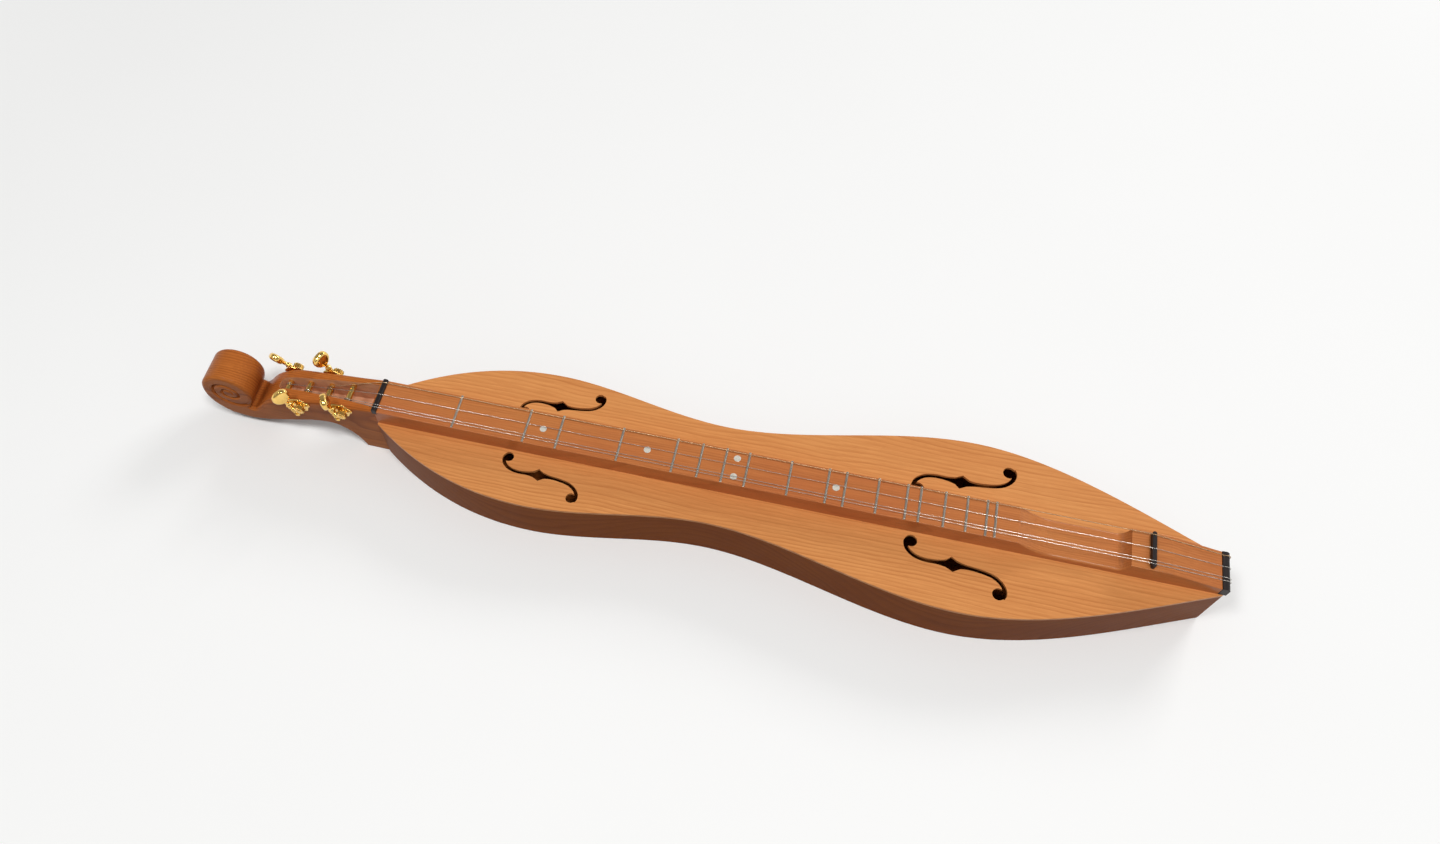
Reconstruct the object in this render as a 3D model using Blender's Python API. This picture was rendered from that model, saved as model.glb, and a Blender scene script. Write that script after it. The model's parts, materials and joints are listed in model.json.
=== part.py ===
"""Mountain dulcimer: hourglass body, fretboard with a strum hollow, scroll peghead, four geared tuners.

Every length is in metres. The frame empty sits at the nut, on the fretboard's top face: +X runs from the
nut towards the tail, +Y to the bass side, +Z up. The scene's own origin ends up under the middle of the
instrument, on the flat back that it rests on.
"""
import math

import bmesh
import bpy
from mathutils import Matrix, Vector

# Strings and frets
STRING_LENGTH = 0.724
FRET_SEMITONES = (2, 4, 5, 7, 9, 10, 11, 12, 14, 16, 17, 19, 21, 22, 24, 26, 28, 29)
STRING_HEIGHT_NUT = 0.0028
STRING_HEIGHT_BRIDGE = 0.0052
PLAIN_STRING_RADIUS = 0.00025
WOUND_STRING_RADIUS = 0.00036

# Fretboard
BOARD_WIDTH = 0.0368
BOARD_HEIGHT = 0.0202
BRIDGE_TO_BOARD_END = 0.0622
TAIL_LENGTH = 0.0455
TAIL_DROP = 0.0092
HOLLOW_TO_BRIDGE = 0.0175
HOLLOW_LENGTH = 0.0975
HOLLOW_DEPTH = 0.0128
HOLLOW_LONG_RAMP = 0.034
HOLLOW_SHORT_RAMP = 0.017
FRET_CROWN_WIDTH = 0.0024
FRET_CROWN_HEIGHT = 0.0010
FRET_TANG_WIDTH = 0.0007
FRET_TANG_DEPTH = 0.0018
DOT_RADIUS = 0.0033
DOT_THICKNESS = 0.0014
DOT_SPREAD = 0.0096

# Nut, bridge and end piece
NUT_THICKNESS = 0.0050
NUT_SEAT = 0.0042
BRIDGE_THICKNESS = 0.0038
BRIDGE_LENGTH = 0.0346
BRIDGE_SEAT = 0.0050
END_PIECE_THICKNESS = 0.0070
END_PIECE_WIDTH = 0.0372
END_PIECE_TOP = -0.0086
NOTCH_WIDTH = 0.0014
NOTCH_DEPTH = 0.0007
PIN_RADIUS = 0.0010
PIN_DROP = 0.0190
PIN_SEAT = 0.0040
PIN_HEAD = 0.0010

# Body: half widths and where they fall, measured from the nut
BODY_DEPTH = 0.0563
BOARD_END_TO_BODY_END = 0.0050
PLATE_THICKNESS = 0.0030
SIDE_THICKNESS = 0.0025
HEAD_HALF_WIDTH = 0.0200
HEAD_FLARE = 0.70
UPPER_BOUT = (0.163, 0.0730)
WAIST = (0.335, 0.0520)
LOWER_BOUT = (0.566, 0.0866)
TAIL_HALF_WIDTH = 0.0187
TAIL_FLARE = -0.42
OUTLINE_STEPS = 56
END_BLOCK_LENGTH = 0.038
TOP_BRACES = (0.262, 0.452)
BACK_BRACES = (0.100, 0.470)
BRACE_WIDTH = 0.0090
BRACE_HEIGHT = 0.0110

# Sound holes: the middle of each, and its size against the small pair
SOUND_HOLES = ((0.1695, 0.0389, 1.0), (0.5583, 0.0424, 1.167))
BULB_RADIUS = 0.0049
UPPER_BULB = (0.0366, 0.0166)
LOWER_BULB = (-0.0330, -0.0128)

# Peghead
EYE_X = -0.158
EYE_Z = -0.021
# The scroll's outline about its eye, from the throat over the top to the underside: angle, radius
SCROLL_OUTLINE = (
    (-66, 0.0284), (-50, 0.0246), (-34, 0.0222), (-10, 0.0211), (20, 0.0213), (60, 0.0234), (100, 0.0251),
    (135, 0.0271), (165, 0.0302), (195, 0.0345), (225, 0.0410), (255, 0.0463))
# Underside and top of the head in side view, and how far each place is rounded towards the cheeks
HEAD_UNDERSIDE = (
    (-0.1500, -0.0692, 0.0036), (-0.1300, -0.0657, 0.0036), (-0.1120, -0.0596, 0.0036),
    (-0.0940, -0.0532, 0.0036), (-0.0780, -0.0476, 0.0036), (-0.0630, -0.0443, 0.0036),
    (-0.0520, -0.0440, 0.0034), (-0.0425, -0.0488, 0.0030), (-0.0340, -0.0575, 0.0026),
    (-0.0280, -0.0694, 0.0020))
HEAD_TOP = (
    (-0.1462, -0.0470, 0.0030), (-0.1433, -0.0488, 0.0030), (-0.1396, -0.0470, 0.0032),
    (-0.1335, -0.0400, 0.0040), (-0.1260, -0.0302, 0.0050), (-0.1190, -0.0224, 0.0060),
    (-0.1110, -0.0164, 0.0060), (-0.1020, -0.0117, 0.0048), (-0.0900, -0.0086, 0.0036),
    (-0.0700, -0.0062, 0.0032), (-0.0500, -0.0036, 0.0030), (-0.0250, -0.0016, 0.0026),
    (-0.0028, -0.0006, 0.0008))
HEEL_LENGTH = 0.025
HEEL_TIP_ROUND = 0.0010
SCROLL_ROUND = 0.0036
FACE_ROUND = 0.0003
GROOVE_RADIUS = 0.0012
GROOVE_CENTRE = (-0.1625, -0.0230)
GROOVE_START = 0.0258
GROOVE_END = 0.0050
GROOVE_START_ANGLE = -35.0
GROOVE_TURNED = 680.0
# Half the pegbox's inner width from the nut outwards
POCKET_WALLS = (
    (-0.1040, 0.0064), (-0.0790, 0.0076), (-0.0560, 0.0091), (-0.0330, 0.0106), (-0.0045, 0.0126))
POCKET_FLOOR = -0.031

# Tuners: worm and gear
GEAR_TEETH = 14
WORM_PITCH = 0.00224
WORM_CORE = 0.0016
WORM_CREST = 0.0026
GEAR_ROOT = 0.0043
GEAR_TIP = 0.0053
GEAR_THICKNESS = 0.0042
MESH_DISTANCE = 0.00725
WORM_HEIGHT = 0.0058
WORM_HALF_LENGTH = 0.0046
POST_RADIUS = 0.0030
JOURNAL_RADIUS = 0.0015
PLATE_METAL = 0.0012
POST_SEAT = 0.0030
STEM_LENGTH = 0.0040
# The button from its stem outwards: distance, half its width, half its thickness
BUTTON = (
    (0.0000, 0.0024, 0.0022), (0.0013, 0.0045, 0.0033), (0.0034, 0.0069, 0.0039), (0.0060, 0.0084, 0.0041),
    (0.0090, 0.0087, 0.0041), (0.0118, 0.0079, 0.0039), (0.0138, 0.0060, 0.0033), (0.0149, 0.0032, 0.0020))

# Clearances
GAP = 0.0003
HOLE_CLEARANCE = 0.0004

BOARD_END = STRING_LENGTH + BRIDGE_TO_BOARD_END
TAIL_CREASE = BOARD_END - TAIL_LENGTH
HOLLOW_END = STRING_LENGTH - HOLLOW_TO_BRIDGE
HOLLOW_START = HOLLOW_END - HOLLOW_LENGTH
BODY_END = BOARD_END + BOARD_END_TO_BODY_END
STRING_DROP_X = BOARD_END + 2 * GAP + END_PIECE_THICKNESS + WOUND_STRING_RADIUS
TAIL_REACH = STRING_DROP_X + WOUND_STRING_RADIUS + GAP + PIN_HEAD
BOARD_TOP_Z = BODY_DEPTH + BOARD_HEIGHT
HALF_BOARD = BOARD_WIDTH / 2
BOARD_TOP_OF_BODY = -BOARD_HEIGHT
BACK_Z = -BOARD_TOP_Z

# Tuners from the nut outwards: name, post X, post Z, side, lean towards the head, turn of the button
TUNERS = (
    ("near_tail", -0.0330, -0.0085, -1, 11.0, -60.0),
    ("far_tail", -0.0568, -0.0140, 1, 16.0, 65.0),
    ("near_head", -0.0790, -0.0150, -1, 19.0, 45.0),
    ("far_head", -0.1013, -0.0188, 1, 50.0, -26.0),
)

# Strings: name, Y at nut and bridge, Y at the tail, side of the pin, tuner, Y on its post, radius
STRINGS = (
    ("string_bass", 0.0140, 0.0146, -1, "far_tail", 0.0050, WOUND_STRING_RADIUS),
    ("string_middle", 0.0006, 0.0035, -1, "far_head", 0.0012, PLAIN_STRING_RADIUS),
    ("string_melody_inner", -0.0113, -0.0069, 1, "near_head", -0.0045, PLAIN_STRING_RADIUS),
    ("string_melody_outer", -0.0142, -0.0100, -1, "near_tail", -0.0085, PLAIN_STRING_RADIUS),
)


def clear_scene():
    """Remove everything that a new file starts with."""
    for thing in list(bpy.data.objects):
        bpy.data.objects.remove(thing, do_unlink=True)
    for group in list(bpy.data.collections):
        bpy.data.collections.remove(group)


def make_collection(name):
    """Make a collection in the scene."""
    group = bpy.data.collections.new(name)
    bpy.context.scene.collection.children.link(group)
    return group


clear_scene()
PARTS = make_collection("mountain_dulcimer")
CUTTERS = make_collection("cutters")


def make_material(name, colour, roughness, metallic=0.0):
    """One Principled material."""
    material = bpy.data.materials.new(name)
    material.use_nodes = True
    shader = material.node_tree.nodes["Principled BSDF"]
    shader.inputs["Base Color"].default_value = (*colour, 1.0)
    shader.inputs["Roughness"].default_value = roughness
    shader.inputs["Metallic"].default_value = metallic
    material.diffuse_color = (*colour, 1.0)
    return material


CHERRY_TOP = make_material("cherry_top", (0.62, 0.30, 0.12), 0.38)
CHERRY_SIDE = make_material("cherry_side", (0.40, 0.17, 0.07), 0.40)
CHERRY_HEAD = make_material("cherry_head", (0.44, 0.18, 0.08), 0.34)
CHERRY_BOARD = make_material("cherry_board", (0.54, 0.24, 0.10), 0.38)
SPRUCE = make_material("inner_spruce", (0.62, 0.46, 0.28), 0.70)
EBONY = make_material("ebony", (0.030, 0.024, 0.022), 0.42)
NICKEL = make_material("fret_nickel", (0.66, 0.64, 0.60), 0.28, 1.0)
PEARL = make_material("dot_pearl", (0.80, 0.79, 0.74), 0.30)
GOLD = make_material("gold_plate", (0.83, 0.60, 0.22), 0.22, 1.0)
STEEL = make_material("string_steel", (0.70, 0.70, 0.70), 0.25, 1.0)
BRONZE = make_material("string_bronze", (0.55, 0.36, 0.20), 0.35, 1.0)


def make_empty(name, location, rotation=None, parent=None):
    """An empty that carries other pieces."""
    empty = bpy.data.objects.new(name, None)
    empty.empty_display_size = 0.01
    PARTS.objects.link(empty)
    empty.parent = parent
    empty.location = location
    if rotation is not None:
        empty.rotation_euler = rotation
    return empty


def finish_mesh(name, bm, parent, material, group, location=(0, 0, 0), rotation=(0, 0, 0)):
    """Turn a bmesh into a placed object with its own origin."""
    bmesh.ops.recalc_face_normals(bm, faces=bm.faces)
    mesh = bpy.data.meshes.new(name)
    bm.to_mesh(mesh)
    bm.free()
    thing = bpy.data.objects.new(name, mesh)
    group.objects.link(thing)
    thing.parent = parent
    thing.location = location
    thing.rotation_euler = rotation
    if material is not None:
        mesh.materials.append(material)
    if group is CUTTERS:
        thing.hide_render = True
        thing.display_type = "WIRE"
    return thing


def make_box(name, low, high, parent, material=None, group=PARTS):
    """A box between two corners, with its origin in its middle."""
    centre = [(a + b) / 2 for a, b in zip(low, high)]
    size = [b - a for a, b in zip(low, high)]
    bm = bmesh.new()
    bmesh.ops.create_cube(bm, size=1.0, matrix=Matrix.Diagonal((*size, 1.0)))
    return finish_mesh(name, bm, parent, material, group, centre)


def make_rod(name, radius, length, parent, material=None, group=PARTS, location=(0, 0, 0),
             rotation=(0, 0, 0), sides=24):
    """A round rod along its own Z axis, with its origin in its middle."""
    bm = bmesh.new()
    bmesh.ops.create_cone(bm, cap_ends=True, segments=sides, radius1=radius, radius2=radius, depth=length)
    thing = finish_mesh(name, bm, parent, material, group, location, rotation)
    thing.data.shade_smooth()
    thing.data.set_sharp_from_angle(angle=math.radians(40))
    return thing


def make_prism(name, outline, thickness, parent, material=None, group=PARTS, location=(0, 0, 0),
               rotation=(0, 0, 0)):
    """A flat outline with thickness: a filled 2D curve made into a mesh with its caps welded."""
    curve = bpy.data.curves.new(name + "_outline", "CURVE")
    curve.dimensions = "2D"
    curve.fill_mode = "BOTH"
    curve.extrude = thickness / 2
    spline = curve.splines.new("POLY")
    spline.points.add(len(outline) - 1)
    for point, (a, b) in zip(spline.points, outline):
        point.co = (a, b, 0.0, 1.0)
    spline.use_cyclic_u = True
    return curve_to_mesh(name, curve, parent, material, group, location, rotation)


def make_tube(name, points, radius, parent, material=None, group=PARTS, sides=2):
    """A round tube along points, with filled ends."""
    curve = bpy.data.curves.new(name + "_path", "CURVE")
    curve.dimensions = "3D"
    curve.bevel_depth = radius
    curve.bevel_resolution = sides
    curve.use_fill_caps = True
    spline = curve.splines.new("POLY")
    spline.points.add(len(points) - 1)
    for point, co in zip(spline.points, points):
        point.co = (*co, 1.0)
    return curve_to_mesh(name, curve, parent, material, group, (0, 0, 0), (0, 0, 0))


def curve_to_mesh(name, curve, parent, material, group, location, rotation):
    """Make the curve a mesh object, weld its caps and remove the curve."""
    guide = bpy.data.objects.new(name + "_guide", curve)
    group.objects.link(guide)
    graph = bpy.context.evaluated_depsgraph_get()
    mesh = bpy.data.meshes.new_from_object(guide.evaluated_get(graph))
    bm = bmesh.new()
    bm.from_mesh(mesh)
    bmesh.ops.remove_doubles(bm, verts=bm.verts, dist=0.000002)
    bpy.data.objects.remove(guide, do_unlink=True)
    bpy.data.meshes.remove(mesh)
    return finish_mesh(name, bm, parent, material, group, location, rotation)


def cut(piece, cutter, operation="DIFFERENCE"):
    """Cut a piece with a cutter, or join or intersect it."""
    modifier = piece.modifiers.new(cutter.name, "BOOLEAN")
    modifier.operation = operation
    modifier.solver = "EXACT"
    modifier.object = cutter


def smooth(piece, angle=35):
    """Shade a piece smooth, with its creases kept."""
    piece.data.shade_smooth()
    piece.data.set_sharp_from_angle(angle=math.radians(angle))


def ease(t):
    """Smooth step from 0 to 1."""
    t = max(0.0, min(1.0, t))
    return t * t * (3 - 2 * t)


def between(stations, x):
    """Straight lines through (x, value) stations in rising x."""
    if x <= stations[0][0]:
        return stations[0][1]
    for (x0, v0), (x1, v1) in zip(stations, stations[1:]):
        if x <= x1:
            return v0 + (v1 - v0) * (x - x0) / (x1 - x0)
    return stations[-1][1]


def through(points, steps):
    """A smooth path through control points, with a few steps between neighbours."""
    path = []
    for i in range(len(points) - 1):
        p0 = Vector(points[max(i - 1, 0)])
        p1 = Vector(points[i])
        p2 = Vector(points[i + 1])
        p3 = Vector(points[min(i + 2, len(points) - 1)])
        m1 = (p2 - p0) / 2
        m2 = (p3 - p1) / 2
        for k in range(steps):
            t = k / steps
            a = 2 * t ** 3 - 3 * t ** 2 + 1
            b = t ** 3 - 2 * t ** 2 + t
            c = -2 * t ** 3 + 3 * t ** 2
            d = t ** 3 - t ** 2
            path.append(tuple(p1 * a + m1 * b + p2 * c + m2 * d))
    path.append(tuple(points[-1]))
    return path


def half_width(x):
    """Half the body's width at x: smooth arcs between the ends, the bouts and the waist."""
    knots = (
        (0.0, HEAD_HALF_WIDTH, HEAD_FLARE),
        (*UPPER_BOUT, 0.0),
        (*WAIST, 0.0),
        (*LOWER_BOUT, 0.0),
        (BODY_END, TAIL_HALF_WIDTH, TAIL_FLARE),
    )
    for (x0, w0, s0), (x1, w1, s1) in zip(knots, knots[1:]):
        if x <= x1 or x1 == BODY_END:
            span = x1 - x0
            t = (x - x0) / span
            return (w0 * (2 * t ** 3 - 3 * t ** 2 + 1) + s0 * span * (t ** 3 - 2 * t ** 2 + t)
                    + w1 * (3 * t ** 2 - 2 * t ** 3) + s1 * span * (t ** 3 - t ** 2))
    return TAIL_HALF_WIDTH


def inner_width(x, depth):
    """Half the width at a depth inside the outline, measured square to it."""
    slope = (half_width(x + 0.0005) - half_width(x - 0.0005)) / 0.001
    return half_width(x) - depth * math.sqrt(1 + slope * slope)


def stations(start, end, count):
    """Even steps from start to end."""
    return [start + (end - start) * i / count for i in range(count + 1)]


def plate_outline(start, end, count, inset=0.0):
    """The body's outline between two stations."""
    xs = stations(start, end, count)
    far = [(x, inner_width(x, inset)) for x in xs]
    return far + [(x, -w) for x, w in reversed(far)]


# The scroll's outer edge, from the throat round the top and the front to the underside
def scroll_outline():
    """Points of the scroll's outline from the nut, each with the radius that its rim is rounded by."""
    rims = ((SCROLL_OUTLINE[0][0], HEAD_TOP[0][2]), (SCROLL_OUTLINE[2][0], SCROLL_ROUND))
    points = []
    for angle, radius in through(SCROLL_OUTLINE, 3):
        turn = math.radians(angle)
        rim = between(rims, angle)
        points.append((EYE_X + radius * math.cos(turn), EYE_Z + radius * math.sin(turn), rim))
    return points


HEAD_REACH = -min(x for x, _, _ in scroll_outline())
NUT_X = (HEAD_REACH - TAIL_REACH) / 2

FRAME = make_empty("dulcimer_frame", (NUT_X, 0.0, BOARD_TOP_Z))
SIDEWAYS = (math.radians(90), 0.0, 0.0)


# Body box
def build_body():
    """Soundboard, back, two bent sides, end blocks and braces."""
    top_z = BOARD_TOP_OF_BODY - PLATE_THICKNESS / 2
    soundboard = make_prism("soundboard", plate_outline(0.00015, BODY_END, OUTLINE_STEPS), PLATE_THICKNESS,
                            FRAME, CHERRY_TOP, location=(0, 0, top_z))
    for number, (x, y, scale) in enumerate(SOUND_HOLES):
        for side in (-1, 1):
            for cutter in sound_hole_cutters(f"hole_{number}_{side + 1}", x, y, scale, side):
                cut(soundboard, cutter)
    make_prism("back", plate_outline(0.00015, BODY_END, OUTLINE_STEPS), PLATE_THICKNESS, FRAME, CHERRY_SIDE,
               location=(0, 0, BACK_Z + PLATE_THICKNESS / 2))
    low = BACK_Z + PLATE_THICKNESS + GAP
    high = BOARD_TOP_OF_BODY - PLATE_THICKNESS - GAP
    xs = stations(0.00015, BODY_END, OUTLINE_STEPS)
    for name, side in (("side_near", -1), ("side_far", 1)):
        outer = [(x, side * half_width(x)) for x in xs]
        inner = [(x, side * inner_width(x, SIDE_THICKNESS)) for x in xs]
        rib = make_prism(name, outer + inner[::-1], high - low, FRAME, CHERRY_SIDE,
                         location=(0, 0, (low + high) / 2))
        smooth(rib)
    depth = SIDE_THICKNESS + GAP
    middle = (0, 0, (low + high) / 2)
    head_outline = plate_outline(0.00015, END_BLOCK_LENGTH, 6, depth)
    make_prism("head_end_block", head_outline, high - low, FRAME, SPRUCE, location=middle)
    tail_outline = plate_outline(BODY_END - END_BLOCK_LENGTH, BODY_END, 6, depth)
    tail_block = make_prism("tail_end_block", tail_outline, high - low, FRAME, SPRUCE, location=middle)
    for name, _, y_tail, pin_side, _, _, _ in STRINGS:
        hole = make_rod(f"pin_hole_{name}", PIN_RADIUS + GAP, 2 * (PIN_SEAT + GAP), FRAME, group=CUTTERS,
                        sides=12, location=(BODY_END, y_tail + pin_side * pin_offset(), pin_height()),
                        rotation=(0, math.radians(90), 0))
        cut(tail_block, hole)
    for label, places, base, up in (("top_brace", TOP_BRACES, high, -1),
                                    ("back_brace", BACK_BRACES, low, 1)):
        for number, x in enumerate(places):
            reach = min(inner_width(x - BRACE_WIDTH / 2, depth), inner_width(x + BRACE_WIDTH / 2, depth))
            ends = sorted((base, base + up * BRACE_HEIGHT))
            make_box(f"{label}_{number + 1}", (x - BRACE_WIDTH / 2, -reach, ends[0]),
                     (x + BRACE_WIDTH / 2, reach, ends[1]), FRAME, SPRUCE)


def sound_hole_cutters(name, x, y, scale, side):
    """One f-shaped hole: a tapering stem with a pointed middle, and a round bulb at each end."""
    spine = through(((-0.0345, -0.0158), (-0.0369, -0.0121), (-0.0360, -0.0072), (-0.0330, -0.0035),
                     (-0.0280, -0.0006), (-0.0205, 0.0009), (-0.0110, 0.0006), (0.0, 0.0),
                     (0.0105, 0.0001), (0.0205, 0.0009), (0.0305, 0.0030), (0.0368, 0.0068),
                     (0.0404, 0.0116), (0.0411, 0.0164), (0.0396, 0.0195)), 2)
    edge_a = []
    edge_b = []
    for i, (a, b) in enumerate(spine):
        before = Vector(spine[max(i - 1, 0)])
        after = Vector(spine[min(i + 1, len(spine) - 1)])
        along = (after - before).normalized()
        wide = 0.0017 + 0.0023 * math.exp(-(a / 0.0075) ** 2)
        edge_a.append((a - along.y * wide, b + along.x * wide))
        edge_b.append((a + along.y * wide, b - along.x * wide))
    upper = [p for p in edge_a if not abs(p[0] - 0.0009) < 0.0035]
    lower = [p for p in edge_b if not abs(p[0] + 0.0010) < 0.0035]
    upper.append((0.0009, 0.0062))
    lower.append((-0.0010, -0.0063))
    upper = order_along(upper, edge_a)
    lower = order_along(lower, edge_b)
    outline = [(x + scale * a, side * (y + scale * b)) for a, b in upper + lower[::-1]]
    top = BOARD_TOP_OF_BODY
    cutters = [make_prism(name + "_stem", outline, 0.02, FRAME, group=CUTTERS, location=(0, 0, top))]
    for label, (a, b) in (("_outer", UPPER_BULB), ("_inner", LOWER_BULB)):
        cutters.append(make_rod(name + label, BULB_RADIUS * scale, 0.02, FRAME, group=CUTTERS, sides=18,
                                location=(x + scale * a, side * (y + scale * b), top)))
    return cutters


def order_along(points, edge):
    """Put the pointed notch at its place along an edge."""
    notch = points[-1]
    rest = points[:-1]
    order = [i for i, p in enumerate(edge) if p in rest]
    kept = [edge[i] for i in order]
    for k in range(len(order) - 1):
        if order[k + 1] - order[k] > 1:
            return kept[:k + 1] + [notch] + kept[k + 1:]
    return kept


def fret_places():
    """Distance of each fret from the nut."""
    return [STRING_LENGTH * (1 - 2 ** (-step / 12)) for step in FRET_SEMITONES]


def build_fretboard():
    """Fretboard with its hollow, slots and dots, and the frets."""
    bottom = -BOARD_HEIGHT + GAP
    start = 0.00015
    outline = [(start, bottom), (start, -NUT_SEAT - GAP)]
    outline += [(NUT_THICKNESS / 2 + GAP, -NUT_SEAT - GAP), (NUT_THICKNESS / 2 + GAP, 0.0)]
    half_slot = FRET_TANG_WIDTH / 2 + GAP
    slot_floor = -FRET_TANG_DEPTH - GAP
    for x in fret_places():
        outline += [(x - half_slot, 0.0), (x - half_slot, slot_floor),
                    (x + half_slot, slot_floor), (x + half_slot, 0.0)]
    for k in range(11):
        t = k / 10
        outline.append((HOLLOW_START + HOLLOW_LONG_RAMP * t, -HOLLOW_DEPTH * math.sin(math.pi / 2 * t)))
    for k in range(9):
        t = k / 8
        outline.append((HOLLOW_END - HOLLOW_SHORT_RAMP * (1 - t),
                        -HOLLOW_DEPTH * math.cos(math.pi / 2 * t) ** 0.8))
    outline += [(TAIL_CREASE, 0.0), (BOARD_END, -TAIL_DROP), (BOARD_END, bottom)]
    board = make_prism("fretboard", outline, BOARD_WIDTH, FRAME, CHERRY_BOARD, rotation=SIDEWAYS)
    frets = fret_places()
    crown = [(FRET_CROWN_WIDTH / 2 * math.cos(math.pi * k / 6),
              GAP + FRET_CROWN_HEIGHT * math.sin(math.pi * k / 6)) for k in range(7)]
    tang = FRET_TANG_WIDTH / 2
    section = crown + [(-tang, GAP), (-tang, -FRET_TANG_DEPTH), (tang, -FRET_TANG_DEPTH), (tang, GAP)]
    first = make_prism("fret_01", section, BOARD_WIDTH - 0.0004, FRAME, NICKEL, location=(frets[0], 0, 0),
                       rotation=SIDEWAYS)
    for number, x in enumerate(frets[1:], start=2):
        copy = bpy.data.objects.new(f"fret_{number:02d}", first.data)
        PARTS.objects.link(copy)
        copy.parent = FRAME
        copy.location = (x, 0, 0)
        copy.rotation_euler = SIDEWAYS
    middles = [(a + b) / 2 for a, b in zip(frets, frets[1:])]
    places = ((middles[1], 0.0), (middles[3], 0.0), (middles[6], DOT_SPREAD), (middles[6], -DOT_SPREAD),
              (middles[9], 0.0))
    for number, (x, y) in enumerate(places, start=1):
        make_rod(f"dot_{number}", DOT_RADIUS, DOT_THICKNESS, FRAME, PEARL, sides=20,
                 location=(x, y, -DOT_THICKNESS / 2))
        pocket = make_rod(f"dot_pocket_{number}", DOT_RADIUS + GAP, 0.01, FRAME, group=CUTTERS, sides=20,
                          location=(x, y, 0.005 - DOT_THICKNESS - GAP))
        cut(board, pocket)
    slot_plan = stadium(BRIDGE_THICKNESS + 2 * GAP, BRIDGE_LENGTH + 2 * GAP)
    slot = make_prism("bridge_slot", slot_plan, 0.02, FRAME, group=CUTTERS,
                      location=(STRING_LENGTH, 0, 0.01 - BRIDGE_SEAT - GAP))
    cut(board, slot)


def stadium(width, length):
    """A bar's plan with round ends, long in Y."""
    radius = width / 2
    reach = length / 2 - radius
    points = []
    for k in range(9):
        turn = math.pi * k / 8
        points.append((radius * math.cos(turn), reach + radius * math.sin(turn)))
    return points + [(-a, -b) for a, b in points]


def build_nut_bridge_end():
    """Nut, bridge and end piece with string notches, and the pins that hold the string loops."""
    half = NUT_THICKNESS / 2
    top = STRING_HEIGHT_NUT + 0.0002
    section = [(-half, -NUT_SEAT), (half, -NUT_SEAT), (half, top - 0.0012), (half - 0.0006, top - 0.0004),
               (half - 0.0016, top), (-half + 0.0016, top), (-half + 0.0006, top - 0.0004),
               (-half, top - 0.0012)]
    nut = make_prism("nut", section, BOARD_WIDTH - 0.0002, FRAME, EBONY, rotation=SIDEWAYS)
    bridge_top = STRING_HEIGHT_BRIDGE + 0.0002
    bridge = make_prism("bridge", stadium(BRIDGE_THICKNESS, BRIDGE_LENGTH), bridge_top + BRIDGE_SEAT, FRAME,
                        EBONY, location=(STRING_LENGTH, 0, (bridge_top - BRIDGE_SEAT) / 2))
    x0 = BOARD_END + GAP
    x1 = x0 + END_PIECE_THICKNESS
    z1 = END_PIECE_TOP + 0.0002
    z0 = BOARD_TOP_OF_BODY + GAP
    section = [(x0, z0), (x1, z0), (x1, z1 - 0.0026), (x1 - 0.0008, z1 - 0.0011), (x1 - 0.0026, z1),
               (x0, z1)]
    end_piece = make_prism("end_piece", section, END_PIECE_WIDTH, FRAME, EBONY, rotation=SIDEWAYS)
    for name, y_nut, y_tail, pin_side, _, _, _ in STRINGS:
        places = ((nut, 0.0, y_nut, STRING_HEIGHT_NUT), (bridge, STRING_LENGTH, y_nut, STRING_HEIGHT_BRIDGE))
        for piece, x, y, z in places:
            notch = make_box(f"{piece.name}_{name}_notch", (x - 0.02, y - NOTCH_WIDTH / 2, z - NOTCH_DEPTH),
                             (x + 0.02, y + NOTCH_WIDTH / 2, z + 0.01), FRAME, group=CUTTERS)
            cut(piece, notch)
        low = (x0 - 0.02, y_tail - NOTCH_WIDTH / 2, END_PIECE_TOP - NOTCH_DEPTH)
        high = (x1 + 0.02, y_tail + NOTCH_WIDTH / 2, END_PIECE_TOP + 0.01)
        notch = make_box(f"end_{name}_notch", low, high, FRAME, group=CUTTERS)
        cut(end_piece, notch)
        tip = TAIL_REACH - BODY_END
        rings = ((-PIN_SEAT, PIN_RADIUS), (tip - PIN_HEAD, PIN_RADIUS),
                 (tip - 0.9 * PIN_HEAD, PIN_RADIUS * 1.7), (tip - 0.3 * PIN_HEAD, PIN_RADIUS * 1.6),
                 (tip, PIN_RADIUS * 0.9))
        pin = make_loft(f"pin_{name}", [(x, r, r, 0.0) for x, r in rings], 12, FRAME, GOLD,
                        location=(BODY_END, y_tail + pin_side * pin_offset(), pin_height()),
                        rotation=(0, math.radians(90), 0))
        smooth(pin, 40)


def pin_height():
    """Height of the pins, in the tail block below the soundboard's edge."""
    return END_PIECE_TOP - PIN_DROP


def pin_offset():
    """How far a pin stands to the side of its string, so that the string drops past it."""
    return PIN_RADIUS + GAP + WOUND_STRING_RADIUS


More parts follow.
